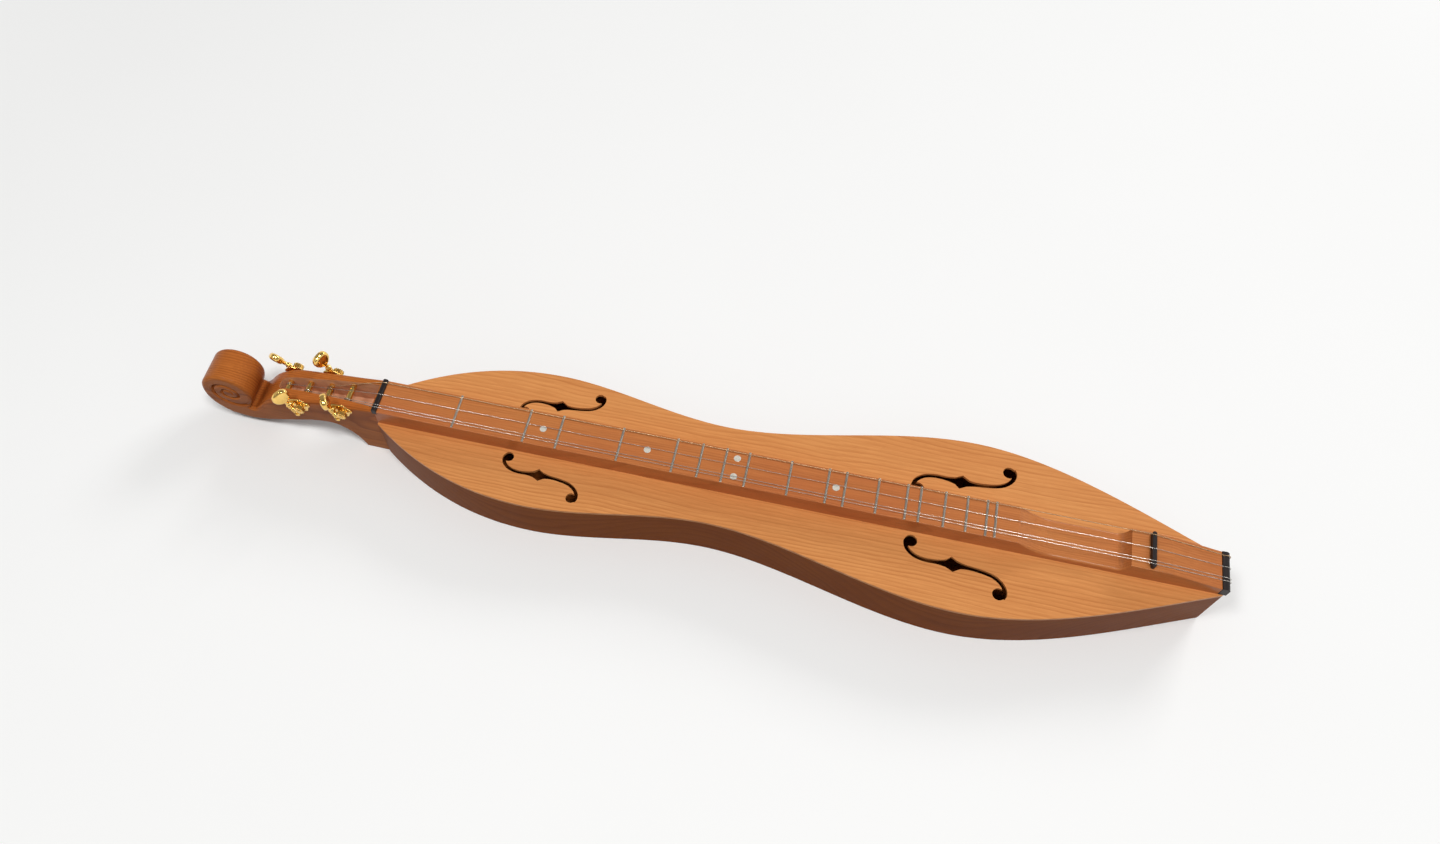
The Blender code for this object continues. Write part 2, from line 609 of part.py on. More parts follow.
def make_loft(name, rings, sides, parent, material, location=(0, 0, 0), rotation=(0, 0, 0), thread=None,
              square_from=None):
    """A closed skin along the object's own Z: each ring has a height, two half widths and a turn.

    Rings above square_from have fuller corners than an ellipse.
    """
    bm = bmesh.new()
    loops = []
    for height, wide, thin, turn in rings:
        loop = []
        power = 0.72 if square_from is not None and height > square_from else 1.0
        for k in range(sides):
            angle = 2 * math.pi * k / sides
            a = wide * math.copysign(abs(math.cos(angle)) ** power, math.cos(angle))
            b = thin * math.copysign(abs(math.sin(angle)) ** power, math.sin(angle))
            if thread is not None and abs(height) < WORM_HALF_LENGTH + 1e-9:
                swell = thread(height, angle)
                a = swell * math.cos(angle)
                b = swell * math.sin(angle)
            c, s = math.cos(turn), math.sin(turn)
            loop.append(bm.verts.new((a * c - b * s, a * s + b * c, height)))
        loops.append(loop)
    for low, high in zip(loops, loops[1:]):
        for k in range(sides):
            n = (k + 1) % sides
            bm.faces.new((low[k], low[n], high[n], high[k]))
    bm.faces.new(loops[0][::-1])
    bm.faces.new(loops[-1])
    return finish_mesh(name, bm, parent, material, PARTS, location, rotation)


# Peghead
def pocket_half_width(x):
    """Half the pegbox's inner width."""
    return between(POCKET_WALLS, x)


def inward_offsets(outline):
    """For each point of a closed outline, the step inwards that moves both its edges by one unit."""
    steps = []
    count = len(outline)
    for i in range(count):
        here = Vector(outline[i])
        before = (here - Vector(outline[i - 1])).normalized()
        after = (Vector(outline[(i + 1) % count]) - here).normalized()
        normal_a = Vector((-before.y, before.x))
        normal_b = Vector((-after.y, after.x))
        step = (normal_a + normal_b) / max(1 + normal_a.dot(normal_b), 0.4)
        if step.length > 1.6:
            step = step.normalized() * 1.6
        steps.append(step)
    return steps


def rounded_slab(name, outline, radii, half, arc_steps, material):
    """An outline in X and Z made into a slab along Y, its rims rounded by each point's own radius."""
    steps = inward_offsets(outline)
    bm = bmesh.new()
    loops = []
    turns = [math.pi / 2 * k / arc_steps for k in range(arc_steps + 1)]
    for side, order in ((-1, turns), (1, turns[::-1])):
        for turn in order:
            loop = []
            for (x, z), radius, step in zip(outline, radii, steps):
                inset = radius * (1 - math.sin(turn))
                y = side * (half - radius * (1 - math.cos(turn)))
                loop.append(bm.verts.new((x + step.x * inset, y, z + step.y * inset)))
            loops.append(loop)
    count = len(outline)
    for low, high in zip(loops, loops[1:]):
        for k in range(count):
            n = (k + 1) % count
            bm.faces.new((low[k], low[n], high[n], high[k]))
    bm.faces.new(loops[0][::-1])
    bm.faces.new(loops[-1])
    return finish_mesh(name, bm, FRAME, material, PARTS)


def build_peghead():
    """Heel, pegbox and scroll carved from one block."""
    face = -0.00015
    seat = -NUT_THICKNESS / 2 - GAP
    heel_tip = (-HEEL_LENGTH, BACK_Z, HEEL_TIP_ROUND)
    path = scroll_outline() + through((*HEAD_UNDERSIDE, heel_tip), 3)
    path += [(face, BACK_Z, FACE_ROUND), (face, -NUT_SEAT - GAP, FACE_ROUND)]
    path.append((seat, -NUT_SEAT - GAP, FACE_ROUND))
    top = through(HEAD_TOP, 2)
    path += [(seat, top[-1][1], FACE_ROUND)] + top[-2:0:-1]
    outline = [(x, z) for x, z, _ in path]
    head = rounded_slab("peghead", outline, [radius for _, _, radius in path], HALF_BOARD, 4, CHERRY_HEAD)
    wall = list(POCKET_WALLS[::-1])
    end_x, end_radius = POCKET_WALLS[0]
    for k in range(1, 6):
        turn = math.pi / 2 * k / 6
        wall.append((end_x - end_radius * math.sin(turn), end_radius * math.cos(turn)))
    pocket = make_prism("pegbox_pocket", wall + [(end_x - end_radius, 0.0)]
                        + [(x, -y) for x, y in reversed(wall)], 2 * abs(POCKET_FLOOR), FRAME, group=CUTTERS,
                        location=(0, 0, 0))
    cut(head, pocket)
    for name, x, z, side, _, _ in TUNERS:
        reach = HALF_BOARD + pocket_half_width(x) + POST_SEAT + HOLE_CLEARANCE
        hole = make_rod(f"post_hole_{name}", POST_RADIUS + HOLE_CLEARANCE, 2 * reach, FRAME, group=CUTTERS,
                        sides=16, rotation=SIDEWAYS, location=(x, side * HALF_BOARD, z))
        cut(head, hole)
    for label, side in (("near", -1), ("far", 1)):
        groove = make_tube(f"scroll_groove_{label}", groove_points(side), GROOVE_RADIUS, FRAME,
                           group=CUTTERS, sides=1)
        cut(head, groove)
    smooth(head, 40)


def groove_points(side):
    """The spiral cut in one face of the scroll, from the throat in to the eye."""
    points = []
    for k in range(49):
        share = k / 48
        radius = GROOVE_END + (GROOVE_START - GROOVE_END) * (1 - share) ** 1.2
        angle = math.radians(GROOVE_START_ANGLE - GROOVE_TURNED * share)
        depth = 0.0001 + 0.0012 * (1 - ease(12 * share))
        points.append((GROOVE_CENTRE[0] + radius * math.cos(angle), side * (HALF_BOARD - depth),
                       GROOVE_CENTRE[1] + radius * math.sin(angle)))
    return points


# Tuners
def gear_outline():
    """Gear with straight-sided teeth; a gap points along +X."""
    points = []
    for tooth in range(GEAR_TEETH):
        middle = 2 * math.pi * (tooth + 0.5) / GEAR_TEETH
        root = 0.00052 / GEAR_ROOT
        tip = 0.00030 / GEAR_TIP
        for radius, offset in ((GEAR_ROOT, -root), (GEAR_TIP, -tip), (GEAR_TIP, tip), (GEAR_ROOT, root)):
            points.append((radius * math.cos(middle + offset), radius * math.sin(middle + offset)))
    return points


def build_tuner(name, post_x, post_z, side, lean, turn):
    """A plate with two bearings, a worm with its button, and a gear on its post.

    The mount empty lies on the cheek: its Z points out of the cheek and its X from the post to the worm.
    On the far side its Y points down the worm, on the near side up it.
    """
    tilt = math.radians(lean)
    worm_up = Vector((-math.sin(tilt), 0.0, math.cos(tilt)))
    outwards = Vector((0.0, side, 0.0))
    to_worm = Vector((-math.cos(tilt), 0.0, -math.sin(tilt)))
    across = outwards.cross(to_worm)
    matrix = Matrix((to_worm, across, outwards)).transposed()
    mount = make_empty(f"tuner_{name}", (post_x, side * HALF_BOARD, post_z), matrix.to_euler(), FRAME)
    up = 1 if across.dot(worm_up) > 0 else -1

    ear_near = WORM_HALF_LENGTH + 0.0010
    ear_far = ear_near + 0.0018
    plate_outer = 0.0092
    outline = []
    for k in range(7):
        angle = math.radians(90 + 180 * k / 6)
        outline.append((-0.0062 + 0.0034 * math.cos(angle), 0.0034 * math.sin(angle)))
    outline += [(-0.0030, -plate_outer + 0.0012), (-0.0018, -plate_outer), (0.0098, -plate_outer),
                (0.0106, -plate_outer + 0.0012)]
    outline += [(x, -y) for x, y in reversed(outline[7:])]
    plate = make_prism(f"tuner_plate_{name}", outline, PLATE_METAL, mount, GOLD,
                       location=(0, 0, GAP + PLATE_METAL / 2))
    top = GAP + PLATE_METAL
    for number, sign in enumerate((-1, 1)):
        ends = sorted((sign * ear_near, sign * ear_far))
        profile = [(0.0030, top - 0.0006)]
        for k in range(7):
            angle = math.pi * k / 6
            profile.append((MESH_DISTANCE + 0.0029 * math.cos(angle),
                            WORM_HEIGHT + 0.0029 * math.sin(angle)))
        profile[0] = (MESH_DISTANCE + 0.0029, top - 0.0006)
        profile.append((MESH_DISTANCE - 0.0029, top - 0.0006))
        ear = make_prism(f"ear_{name}_{number}", profile, ends[1] - ends[0], mount, group=CUTTERS,
                         location=(0, (ends[0] + ends[1]) / 2, 0), rotation=SIDEWAYS)
        cut(plate, ear, "UNION")
    screw = make_rod(f"lug_screw_{name}", 0.0019, 0.0016, mount, group=CUTTERS, sides=12,
                     location=(-0.0064, 0, top + 0.0003))
    cut(plate, screw, "UNION")
    bore = make_rod(f"worm_bore_{name}", JOURNAL_RADIUS + HOLE_CLEARANCE, 0.03, mount, group=CUTTERS,
                    sides=12, location=(MESH_DISTANCE, 0, WORM_HEIGHT), rotation=SIDEWAYS)
    cut(plate, bore)
    bore = make_rod(f"post_bore_{name}", POST_RADIUS + HOLE_CLEARANCE, 0.02, mount, group=CUTTERS, sides=16)
    cut(plate, bore)

    gear_axis = make_empty(f"post_axis_{name}", (0, 0, 0), (0, 0, 0), mount)
    gear = make_prism(f"tuner_gear_{name}", gear_outline(), GEAR_THICKNESS, gear_axis, GOLD,
                      location=(0, 0, WORM_HEIGHT))
    post_length = HALF_BOARD + pocket_half_width(post_x) + POST_SEAT
    post = make_rod(f"post_{name}", POST_RADIUS, post_length + WORM_HEIGHT, gear_axis, group=CUTTERS,
                    sides=16, location=(0, 0, (WORM_HEIGHT - post_length) / 2))
    cut(gear, post, "UNION")
    head = make_rod(f"gear_screw_{name}", 0.0024, 0.0012, gear_axis, group=CUTTERS, sides=16,
                    location=(0, 0, WORM_HEIGHT + GEAR_THICKNESS / 2 + 0.0003))
    cut(gear, head, "UNION")
    smooth(gear, 30)

    build_worm(name, mount, up, math.radians(turn))


def build_worm(name, mount, up, turn):
    """Worm shaft with a helical thread, a collar and a flared button."""
    rings = []
    end = WORM_HALF_LENGTH
    ear_far = end + 0.0028
    for height, radius in ((-ear_far - 0.0020, 0.0012), (-ear_far - 0.0015, 0.0022),
                           (-ear_far - 0.0005, 0.0022), (-ear_far - 0.0004, JOURNAL_RADIUS),
                           (-end - 0.0002, JOURNAL_RADIUS)):
        rings.append((height, radius, radius, 0.0))
    count = 20
    for k in range(count + 1):
        rings.append((-end + 2 * end * k / count, WORM_CORE, WORM_CORE, 0.0))
    for height, radius in ((end + 0.0002, JOURNAL_RADIUS), (ear_far + 0.0004, JOURNAL_RADIUS),
                           (ear_far + 0.0005, 0.0030), (ear_far + 0.0024, 0.0030),
                           (ear_far + 0.0028, 0.0021)):
        rings.append((height, radius, radius, 0.0))
    base = ear_far + 0.0028 + STEM_LENGTH
    for rise, wide, thin in BUTTON:
        rings.append((base + rise, wide, thin, turn))

    def thread(height, angle):
        """Radius of the worm; the crest meets the gear's gap, on the side that faces the post."""
        phase = height / WORM_PITCH - (angle - math.pi) / (2 * math.pi)
        crest = (0.5 + 0.5 * math.cos(2 * math.pi * phase)) ** 2
        fade = min(1.0, (WORM_HALF_LENGTH - abs(height)) / 0.0006)
        return WORM_CORE + (WORM_CREST - WORM_CORE) * crest * fade

    # The object's Z runs up the worm and its X away from the post, so the thread stays right-handed
    rotation = Matrix(((1, 0, 0), (0, 0, up), (0, -up, 0))).to_euler()
    axis = make_loft(f"tuner_knob_{name}", rings, 14, mount, GOLD,
                     location=(MESH_DISTANCE, 0, WORM_HEIGHT), rotation=rotation, thread=thread,
                     square_from=base + BUTTON[0][0])
    smooth(axis, 50)


# Strings
def string_points(y_nut, y_tail, pin_side, tuner, lane, radius):
    """A string's path from its pin over the end piece, bridge and nut, and round its post."""
    post_x, post_z = next((x, z) for name, x, z, *_ in TUNERS if name == tuner)
    down = STRING_DROP_X
    pin_y = y_tail + pin_side * pin_offset()
    loop = PIN_RADIUS + GAP + radius
    points = []
    for k in range(9):
        angle = math.radians(-250 + 250 * k / 8)
        beside = pin_y - pin_side * loop * math.cos(angle)
        points.append((down, beside, pin_height() + loop * math.sin(angle)))
    bend = 0.0028
    for k in range(5):
        turn = math.pi / 2 * k / 4
        points.append((down - bend + bend * math.cos(turn), y_tail,
                       END_PIECE_TOP + 0.0003 - bend + bend * math.sin(turn)))
    points.append((BOARD_END + 0.0008, y_tail, END_PIECE_TOP + 0.0004))
    lift_bridge = STRING_HEIGHT_BRIDGE + radius - 0.0002
    for dx, dz in ((0.0026, -0.0004), (0.0010, 0.0), (-0.0022, 0.0)):
        points.append((STRING_LENGTH + dx, y_nut, lift_bridge + dz))
    lift_nut = STRING_HEIGHT_NUT + radius - 0.0002
    wrap = POST_RADIUS + GAP + radius
    start = Vector((-0.0016, lift_nut))
    centre = Vector((post_x, post_z))
    gap = start - centre
    tangent = math.atan2(gap.y, gap.x) + math.acos(wrap / gap.length)
    for dx, dz in ((0.0016, 0.0), (-0.0016, 0.0)):
        points.append((dx, y_nut, lift_nut + dz))
    turns = 2.7
    pitch = 2 * radius + 0.00048
    inwards = 1 if lane > y_nut else -1
    count = int(turns * 12)
    for k in range(count + 1):
        share = k / count
        angle = tangent + 2 * math.pi * turns * share
        points.append((post_x + wrap * math.cos(angle), lane + inwards * pitch * turns * share,
                       post_z + wrap * math.sin(angle)))
    return points


def smallest_gap(points, radius):
    """Least clear distance between stretches of one string that aren't neighbours along it."""
    fine = []
    for a, b in zip(points, points[1:]):
        a, b = Vector(a), Vector(b)
        count = max(1, int((b - a).length / 0.0006))
        if count > 60:
            continue
        fine += [a + (b - a) * i / count for i in range(count)]
    least = 1.0
    for i, p in enumerate(fine):
        travelled = 0.0
        for j in range(i + 1, len(fine)):
            travelled += (fine[j] - fine[j - 1]).length
            if travelled > 4 * radius + 0.0012:
                least = min(least, (fine[j] - p).length - 2 * radius)
    return least


def build_strings():
    """Four strings, each one unbroken piece."""
    for name, y_nut, y_tail, pin_side, tuner, lane, radius in STRINGS:
        points = string_points(y_nut, y_tail, pin_side, tuner, lane, radius)
        material = BRONZE if radius == WOUND_STRING_RADIUS else STEEL
        string = make_tube(name, points, radius, FRAME, material, sides=1)
        smooth(string, 70)
        print(f"{name}: least gap between its own turns {smallest_gap(points, radius) * 1000:.2f} mm")


build_body()
build_fretboard()
build_nut_bridge_end()
build_peghead()
for tuner in TUNERS:
    build_tuner(*tuner)
build_strings()
bpy.context.view_layer.update()
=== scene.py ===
"""Looks of a mountain dulcimer: oiled cherry, ebony, nickel silver, pearl and gold plate in a pale studio.

Lengths are metres. The pieces are made in the instrument's own coordinates, whose origin is at the nut on the
fretboard's top face: +X runs towards the tail, +Y to the bass side and +Z up.
"""

import json
import logging
import math
from dataclasses import dataclass, field
from enum import Enum
from typing import ClassVar, Iterable, Sequence, TypeVar

import bmesh
import bpy
from mathutils import Matrix, Vector
from mathutils.geometry import delaunay_2d_cdt


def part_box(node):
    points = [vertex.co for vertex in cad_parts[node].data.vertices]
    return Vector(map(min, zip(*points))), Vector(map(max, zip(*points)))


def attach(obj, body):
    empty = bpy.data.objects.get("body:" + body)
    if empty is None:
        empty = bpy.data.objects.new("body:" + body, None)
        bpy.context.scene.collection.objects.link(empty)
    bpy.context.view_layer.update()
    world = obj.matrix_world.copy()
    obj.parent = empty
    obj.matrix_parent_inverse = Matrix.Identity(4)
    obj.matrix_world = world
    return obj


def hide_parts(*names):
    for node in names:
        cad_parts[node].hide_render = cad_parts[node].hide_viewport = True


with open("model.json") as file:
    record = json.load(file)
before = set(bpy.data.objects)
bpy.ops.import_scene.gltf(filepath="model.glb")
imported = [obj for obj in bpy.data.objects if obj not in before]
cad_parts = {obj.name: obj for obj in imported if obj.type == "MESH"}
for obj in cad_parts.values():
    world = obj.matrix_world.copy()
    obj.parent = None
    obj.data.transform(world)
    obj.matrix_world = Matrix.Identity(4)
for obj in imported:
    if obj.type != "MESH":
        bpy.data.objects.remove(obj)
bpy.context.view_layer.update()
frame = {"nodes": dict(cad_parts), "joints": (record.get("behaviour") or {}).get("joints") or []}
LOG = logging.getLogger("dulcimer")

Point2 = tuple[float, float]
Point3 = tuple[float, float, float]
Colour = tuple[float, float, float, float]
Ring = list[Point3]
Value = TypeVar("Value", float, Vector)

STRING_LENGTH = 0.724
BOARD_WIDTH = 0.0368
HALF_BOARD = BOARD_WIDTH / 2
BOARD_HEIGHT = 0.0202
BODY_DEPTH = 0.0563
BOARD_END = STRING_LENGTH + 0.0622
BODY_END = BOARD_END + 0.0050
BACK_Z = -BOARD_HEIGHT - BODY_DEPTH
NUT_THICKNESS = 0.0050
NUT_SEAT = 0.0042
SEAM = 0.00015
GAP = 0.0003
STATIC_BODY = "instrument"
MERGE_DISTANCE = 0.000001
LARGE_FACE_WEIGHT = 80
CORD_RESOLUTION = 3


class Plane(Enum):
    """The plane that an outline is drawn in; its thickness runs along the third axis."""

    FLAT = "XY"
    UPRIGHT = "XZ"


class Grain(Enum):
    """How the growth rings lie in a piece: where the tree's centre is, across (Y) and up (Z)."""

    RIFT = (0.150, -0.120)
    QUARTER = (0.400, 0.030)
    SLAB = (0.012, -0.085)


def nut_origin() -> Vector:
    """Work out where the nut's middle and the fretboard's top face are in the frame.

    Returns:
        The origin of the instrument's own coordinates.
    """
    low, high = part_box("nut")
    return Vector(((low.x + high.x) / 2, 0.0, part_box("fretboard")[1].z))


ORIGIN = nut_origin()


def srgb(red: int, green: int, blue: int) -> Colour:
    """Turn a colour written in 8-bit display values into the linear values that a shader takes.

    Args:
        red: Red, 0 to 255.
        green: Green, 0 to 255.
        blue: Blue, 0 to 255.

    Returns:
        Linear red, green and blue, and an alpha of one.
    """
    def linear(value: int) -> float:
        """One channel's linear value."""
        share = value / 255
        return share / 12.92 if share <= 0.04045 else ((share + 0.055) / 1.055) ** 2.4

    return (linear(red), linear(green), linear(blue), 1.0)


def ease(share: float) -> float:
    """Smooth step from 0 to 1."""
    share = max(0.0, min(1.0, share))
    return share * share * (3 - 2 * share)


def between(knots: Sequence[Point2], x: float) -> float:
    """Read a value on straight lines through knots.

    Args:
        knots: Pairs of x and value, in rising x.
        x: Where to read.

    Returns:
        The value there, which stays level before the first knot and after the last.
    """
    if x <= knots[0][0]:
        return knots[0][1]
    for (x0, v0), (x1, v1) in zip(knots, knots[1:]):
        if x <= x1:
            return v0 + (v1 - v0) * (x - x0) / (x1 - x0)
    return knots[-1][1]


def through(points: Sequence[Sequence[float]], steps: int) -> list[tuple[float, ...]]:
    """Draw a smooth path through control points.

    Args:
        points: The control points, all of one length.
        steps: How many steps lie between two neighbours.

    Returns:
        The path's points, the last control point included.
    """
    path = []
    for i in range(len(points) - 1):
        p0 = Vector(points[max(i - 1, 0)])
        p1 = Vector(points[i])
        p2 = Vector(points[i + 1])
        p3 = Vector(points[min(i + 2, len(points) - 1)])
        m1 = (p2 - p0) / 2
        m2 = (p3 - p1) / 2
        for k in range(steps):
            t = k / steps
            path.append(tuple(hermite(t, p1, m1, p2, m2)))
    path.append(tuple(points[-1]))
    return path


def arc(centre: Point2, radius: float, start: float, end: float, steps: int) -> list[Point2]:
    """Points along an arc, its angles in degrees."""
    turns = [math.radians(start + (end - start) * k / steps) for k in range(steps + 1)]
    return [(centre[0] + radius * math.cos(turn), centre[1] + radius * math.sin(turn)) for turn in turns]


def stations(start: float, end: float, count: int) -> list[float]:
    """Even steps from start to end."""
    return [start + (end - start) * i / count for i in range(count + 1)]


def round_ring(radius: float, height: float, sides: int) -> Ring:
    """A round ring about the piece's own Z."""
    turns = [2 * math.pi * k / sides for k in range(sides)]
    return [(radius * math.cos(turn), radius * math.sin(turn), height) for turn in turns]


def hermite(t: float, start: Value, start_slope: Value, end: Value, end_slope: Value) -> Value:
    """A smooth curve's number or vector at t, from 0 to 1, between two ends with their slopes."""
    return (start * (2 * t ** 3 - 3 * t ** 2 + 1) + start_slope * (t ** 3 - 2 * t ** 2 + t)
            + end * (3 * t ** 2 - 2 * t ** 3) + end_slope * (t ** 3 - t ** 2))


def finish_mesh(name: str, bm: bmesh.types.BMesh) -> bpy.types.Object:
    """Turn a bmesh into an object in the scene, with its faces pointing out.

    Args:
        name: The object's name.
        bm: The bmesh, which is freed.

    Returns:
        The object.
    """
    bmesh.ops.recalc_face_normals(bm, faces=bm.faces)
    mesh = bpy.data.meshes.new(name)
    bm.to_mesh(mesh)
    bm.free()
    piece = bpy.data.objects.new(name, mesh)
    bpy.context.scene.collection.objects.link(piece)
    return piece


def skin(name: str, rings: Sequence[Ring], crease_rings: Iterable[int] = ()) -> bpy.types.Object:
    """Make a closed skin over rings of equally many points.

    Args:
        name: The piece's name.
        rings: The rings in order; the first and last are filled.
        crease_rings: Numbers of the rings that show as a crease.

    Returns:
        The piece.
    """
    bm = bmesh.new()
    loops = [[bm.verts.new(point) for point in ring] for ring in rings]
    count = len(rings[0])
    for low, high in zip(loops, loops[1:]):
        for k in range(count):
            n = (k + 1) % count
            bm.faces.new((low[k], low[n], high[n], high[k]))
    bm.faces.new(loops[0][::-1])
    bm.faces.new(loops[-1])
    for number in crease_rings:
        loop = loops[number]
        for k in range(count):
            bm.edges.get((loop[k], loop[(k + 1) % count])).smooth = False
    return finish_mesh(name, bm)


def prism(name: str, outline: Sequence[Point2], low: float, high: float,
          plane: Plane = Plane.FLAT) -> bpy.types.Object:
    """Give a flat outline its thickness.

    Args:
        name: The piece's name.
        outline: The outline's points in its plane.
        low: Where the piece starts on the third axis.
        high: Where it ends.
        plane: The outline's plane.

    Returns:
        The piece.
    """
    if plane is Plane.FLAT:
        rings = [[(a, b, level) for a, b in outline] for level in (low, high)]
    else:
        rings = [[(a, level, b) for a, b in outline] for level in (low, high)]
    return skin(name, rings)


def lathe(name: str, profile: Sequence[Point2], sides: int) -> bpy.types.Object:
    """Turn a profile of (height, radius) about the piece's own Z."""
    return skin(name, [round_ring(radius, height, sides) for height, radius in profile])


def settle(piece: bpy.types.Object) -> None:
    """Make a piece's modifiers part of its mesh.

    Args:
        piece: The piece.
    """
    graph = bpy.context.evaluated_depsgraph_get()
    mesh = bpy.data.meshes.new_from_object(piece.evaluated_get(graph), depsgraph=graph)
    old = piece.data
    piece.modifiers.clear()
    piece.data = mesh
    bpy.data.meshes.remove(old)
    mesh.name = piece.name


def carve(piece: bpy.types.Object, cutters: Sequence[bpy.types.Object],
          operation: str = "DIFFERENCE") -> None:
    """Cut a piece with cutters, or join them to it, and remove them.

    Args:
        piece: The piece.
        cutters: The cutters.
        operation: DIFFERENCE to cut, UNION to join.
    """
    for cutter in cutters:
        modifier = piece.modifiers.new(cutter.name, "BOOLEAN")
        modifier.operation = operation
        modifier.solver = "EXACT"
        modifier.object = cutter
    settle(piece)
    for cutter in cutters:
        bpy.data.objects.remove(cutter, do_unlink=True)


def move(piece: bpy.types.Object, matrix: Matrix) -> bpy.types.Object:
    """Move a piece's mesh within its object."""
    piece.data.transform(matrix)
    return piece


def soften(piece: bpy.types.Object, width: float, segments: int = 2, angle: float = 40) -> None:
    """Round a piece's sharp edges.

    Args:
        piece: The piece.
        width: The width of the rounding.
        segments: How many faces cross it.
        angle: The least angle of an edge that is rounded, in degrees.
    """
    bevel = piece.modifiers.new("rounded_edges", "BEVEL")
    bevel.width = width
    bevel.segments = segments
    bevel.limit_method = "ANGLE"
    bevel.angle_limit = math.radians(angle)
    bevel.use_clamp_overlap = True
    settle(piece)


def shade(piece: bpy.types.Object, angle: float = 50) -> None:
    """Shade a piece smooth, with its large faces flat.

    Args:
        piece: The piece.
        angle: The least angle of an edge that stays sharp, in degrees.
    """
    creases = [edge.index for edge in piece.data.edges if edge.use_edge_sharp]
    piece.data.shade_smooth()
    piece.data.set_sharp_from_angle(angle=math.radians(angle))
    for index in creases:
        piece.data.edges[index].use_edge_sharp = True
    weighted = piece.modifiers.new("flat_faces", "WEIGHTED_NORMAL")
    weighted.keep_sharp = True
    weighted.weight = LARGE_FACE_WEIGHT
    settle(piece)


def tube(name: str, points: Sequence[Point3], radius: float) -> bpy.types.Object:
    """Make a round cord with filled ends.

    Args:
        name: The cord's name.
        points: The points that its middle follows.
        radius: Its radius.

    Returns:
        The cord.
    """
    curve = bpy.data.curves.new(name + "_path", "CURVE")
    curve.dimensions = "3D"
    curve.bevel_depth = radius
    curve.bevel_resolution = CORD_RESOLUTION
    curve.use_fill_caps = True
    spline = curve.splines.new("POLY")
    spline.points.add(len(points) - 1)
    for point, co in zip(spline.points, points):
        point.co = (*co, 1.0)
    guide = bpy.data.objects.new(name + "_guide", curve)
    bpy.context.scene.collection.objects.link(guide)
    graph = bpy.context.evaluated_depsgraph_get()
    mesh = bpy.data.meshes.new_from_object(guide.evaluated_get(graph))
    bm = bmesh.new()
    bm.from_mesh(mesh)
    bmesh.ops.remove_doubles(bm, verts=bm.verts, dist=2 * MERGE_DISTANCE)
    bpy.data.objects.remove(guide, do_unlink=True)
    bpy.data.meshes.remove(mesh)
    return finish_mesh(name, bm)


def set_stops(ramp: bpy.types.Node, stops: Sequence[Point2]) -> None:
    """Give a colour ramp its stops.

    Args:
        ramp: The ramp's node.
        stops: Places and greys, both from 0 to 1.
    """
    elements = ramp.color_ramp.elements
    while len(elements) < len(stops):
        elements.new(0.5)
    for element, (place, grey) in zip(elements, stops):
        element.position = place
        element.color = (grey, grey, grey, 1.0)


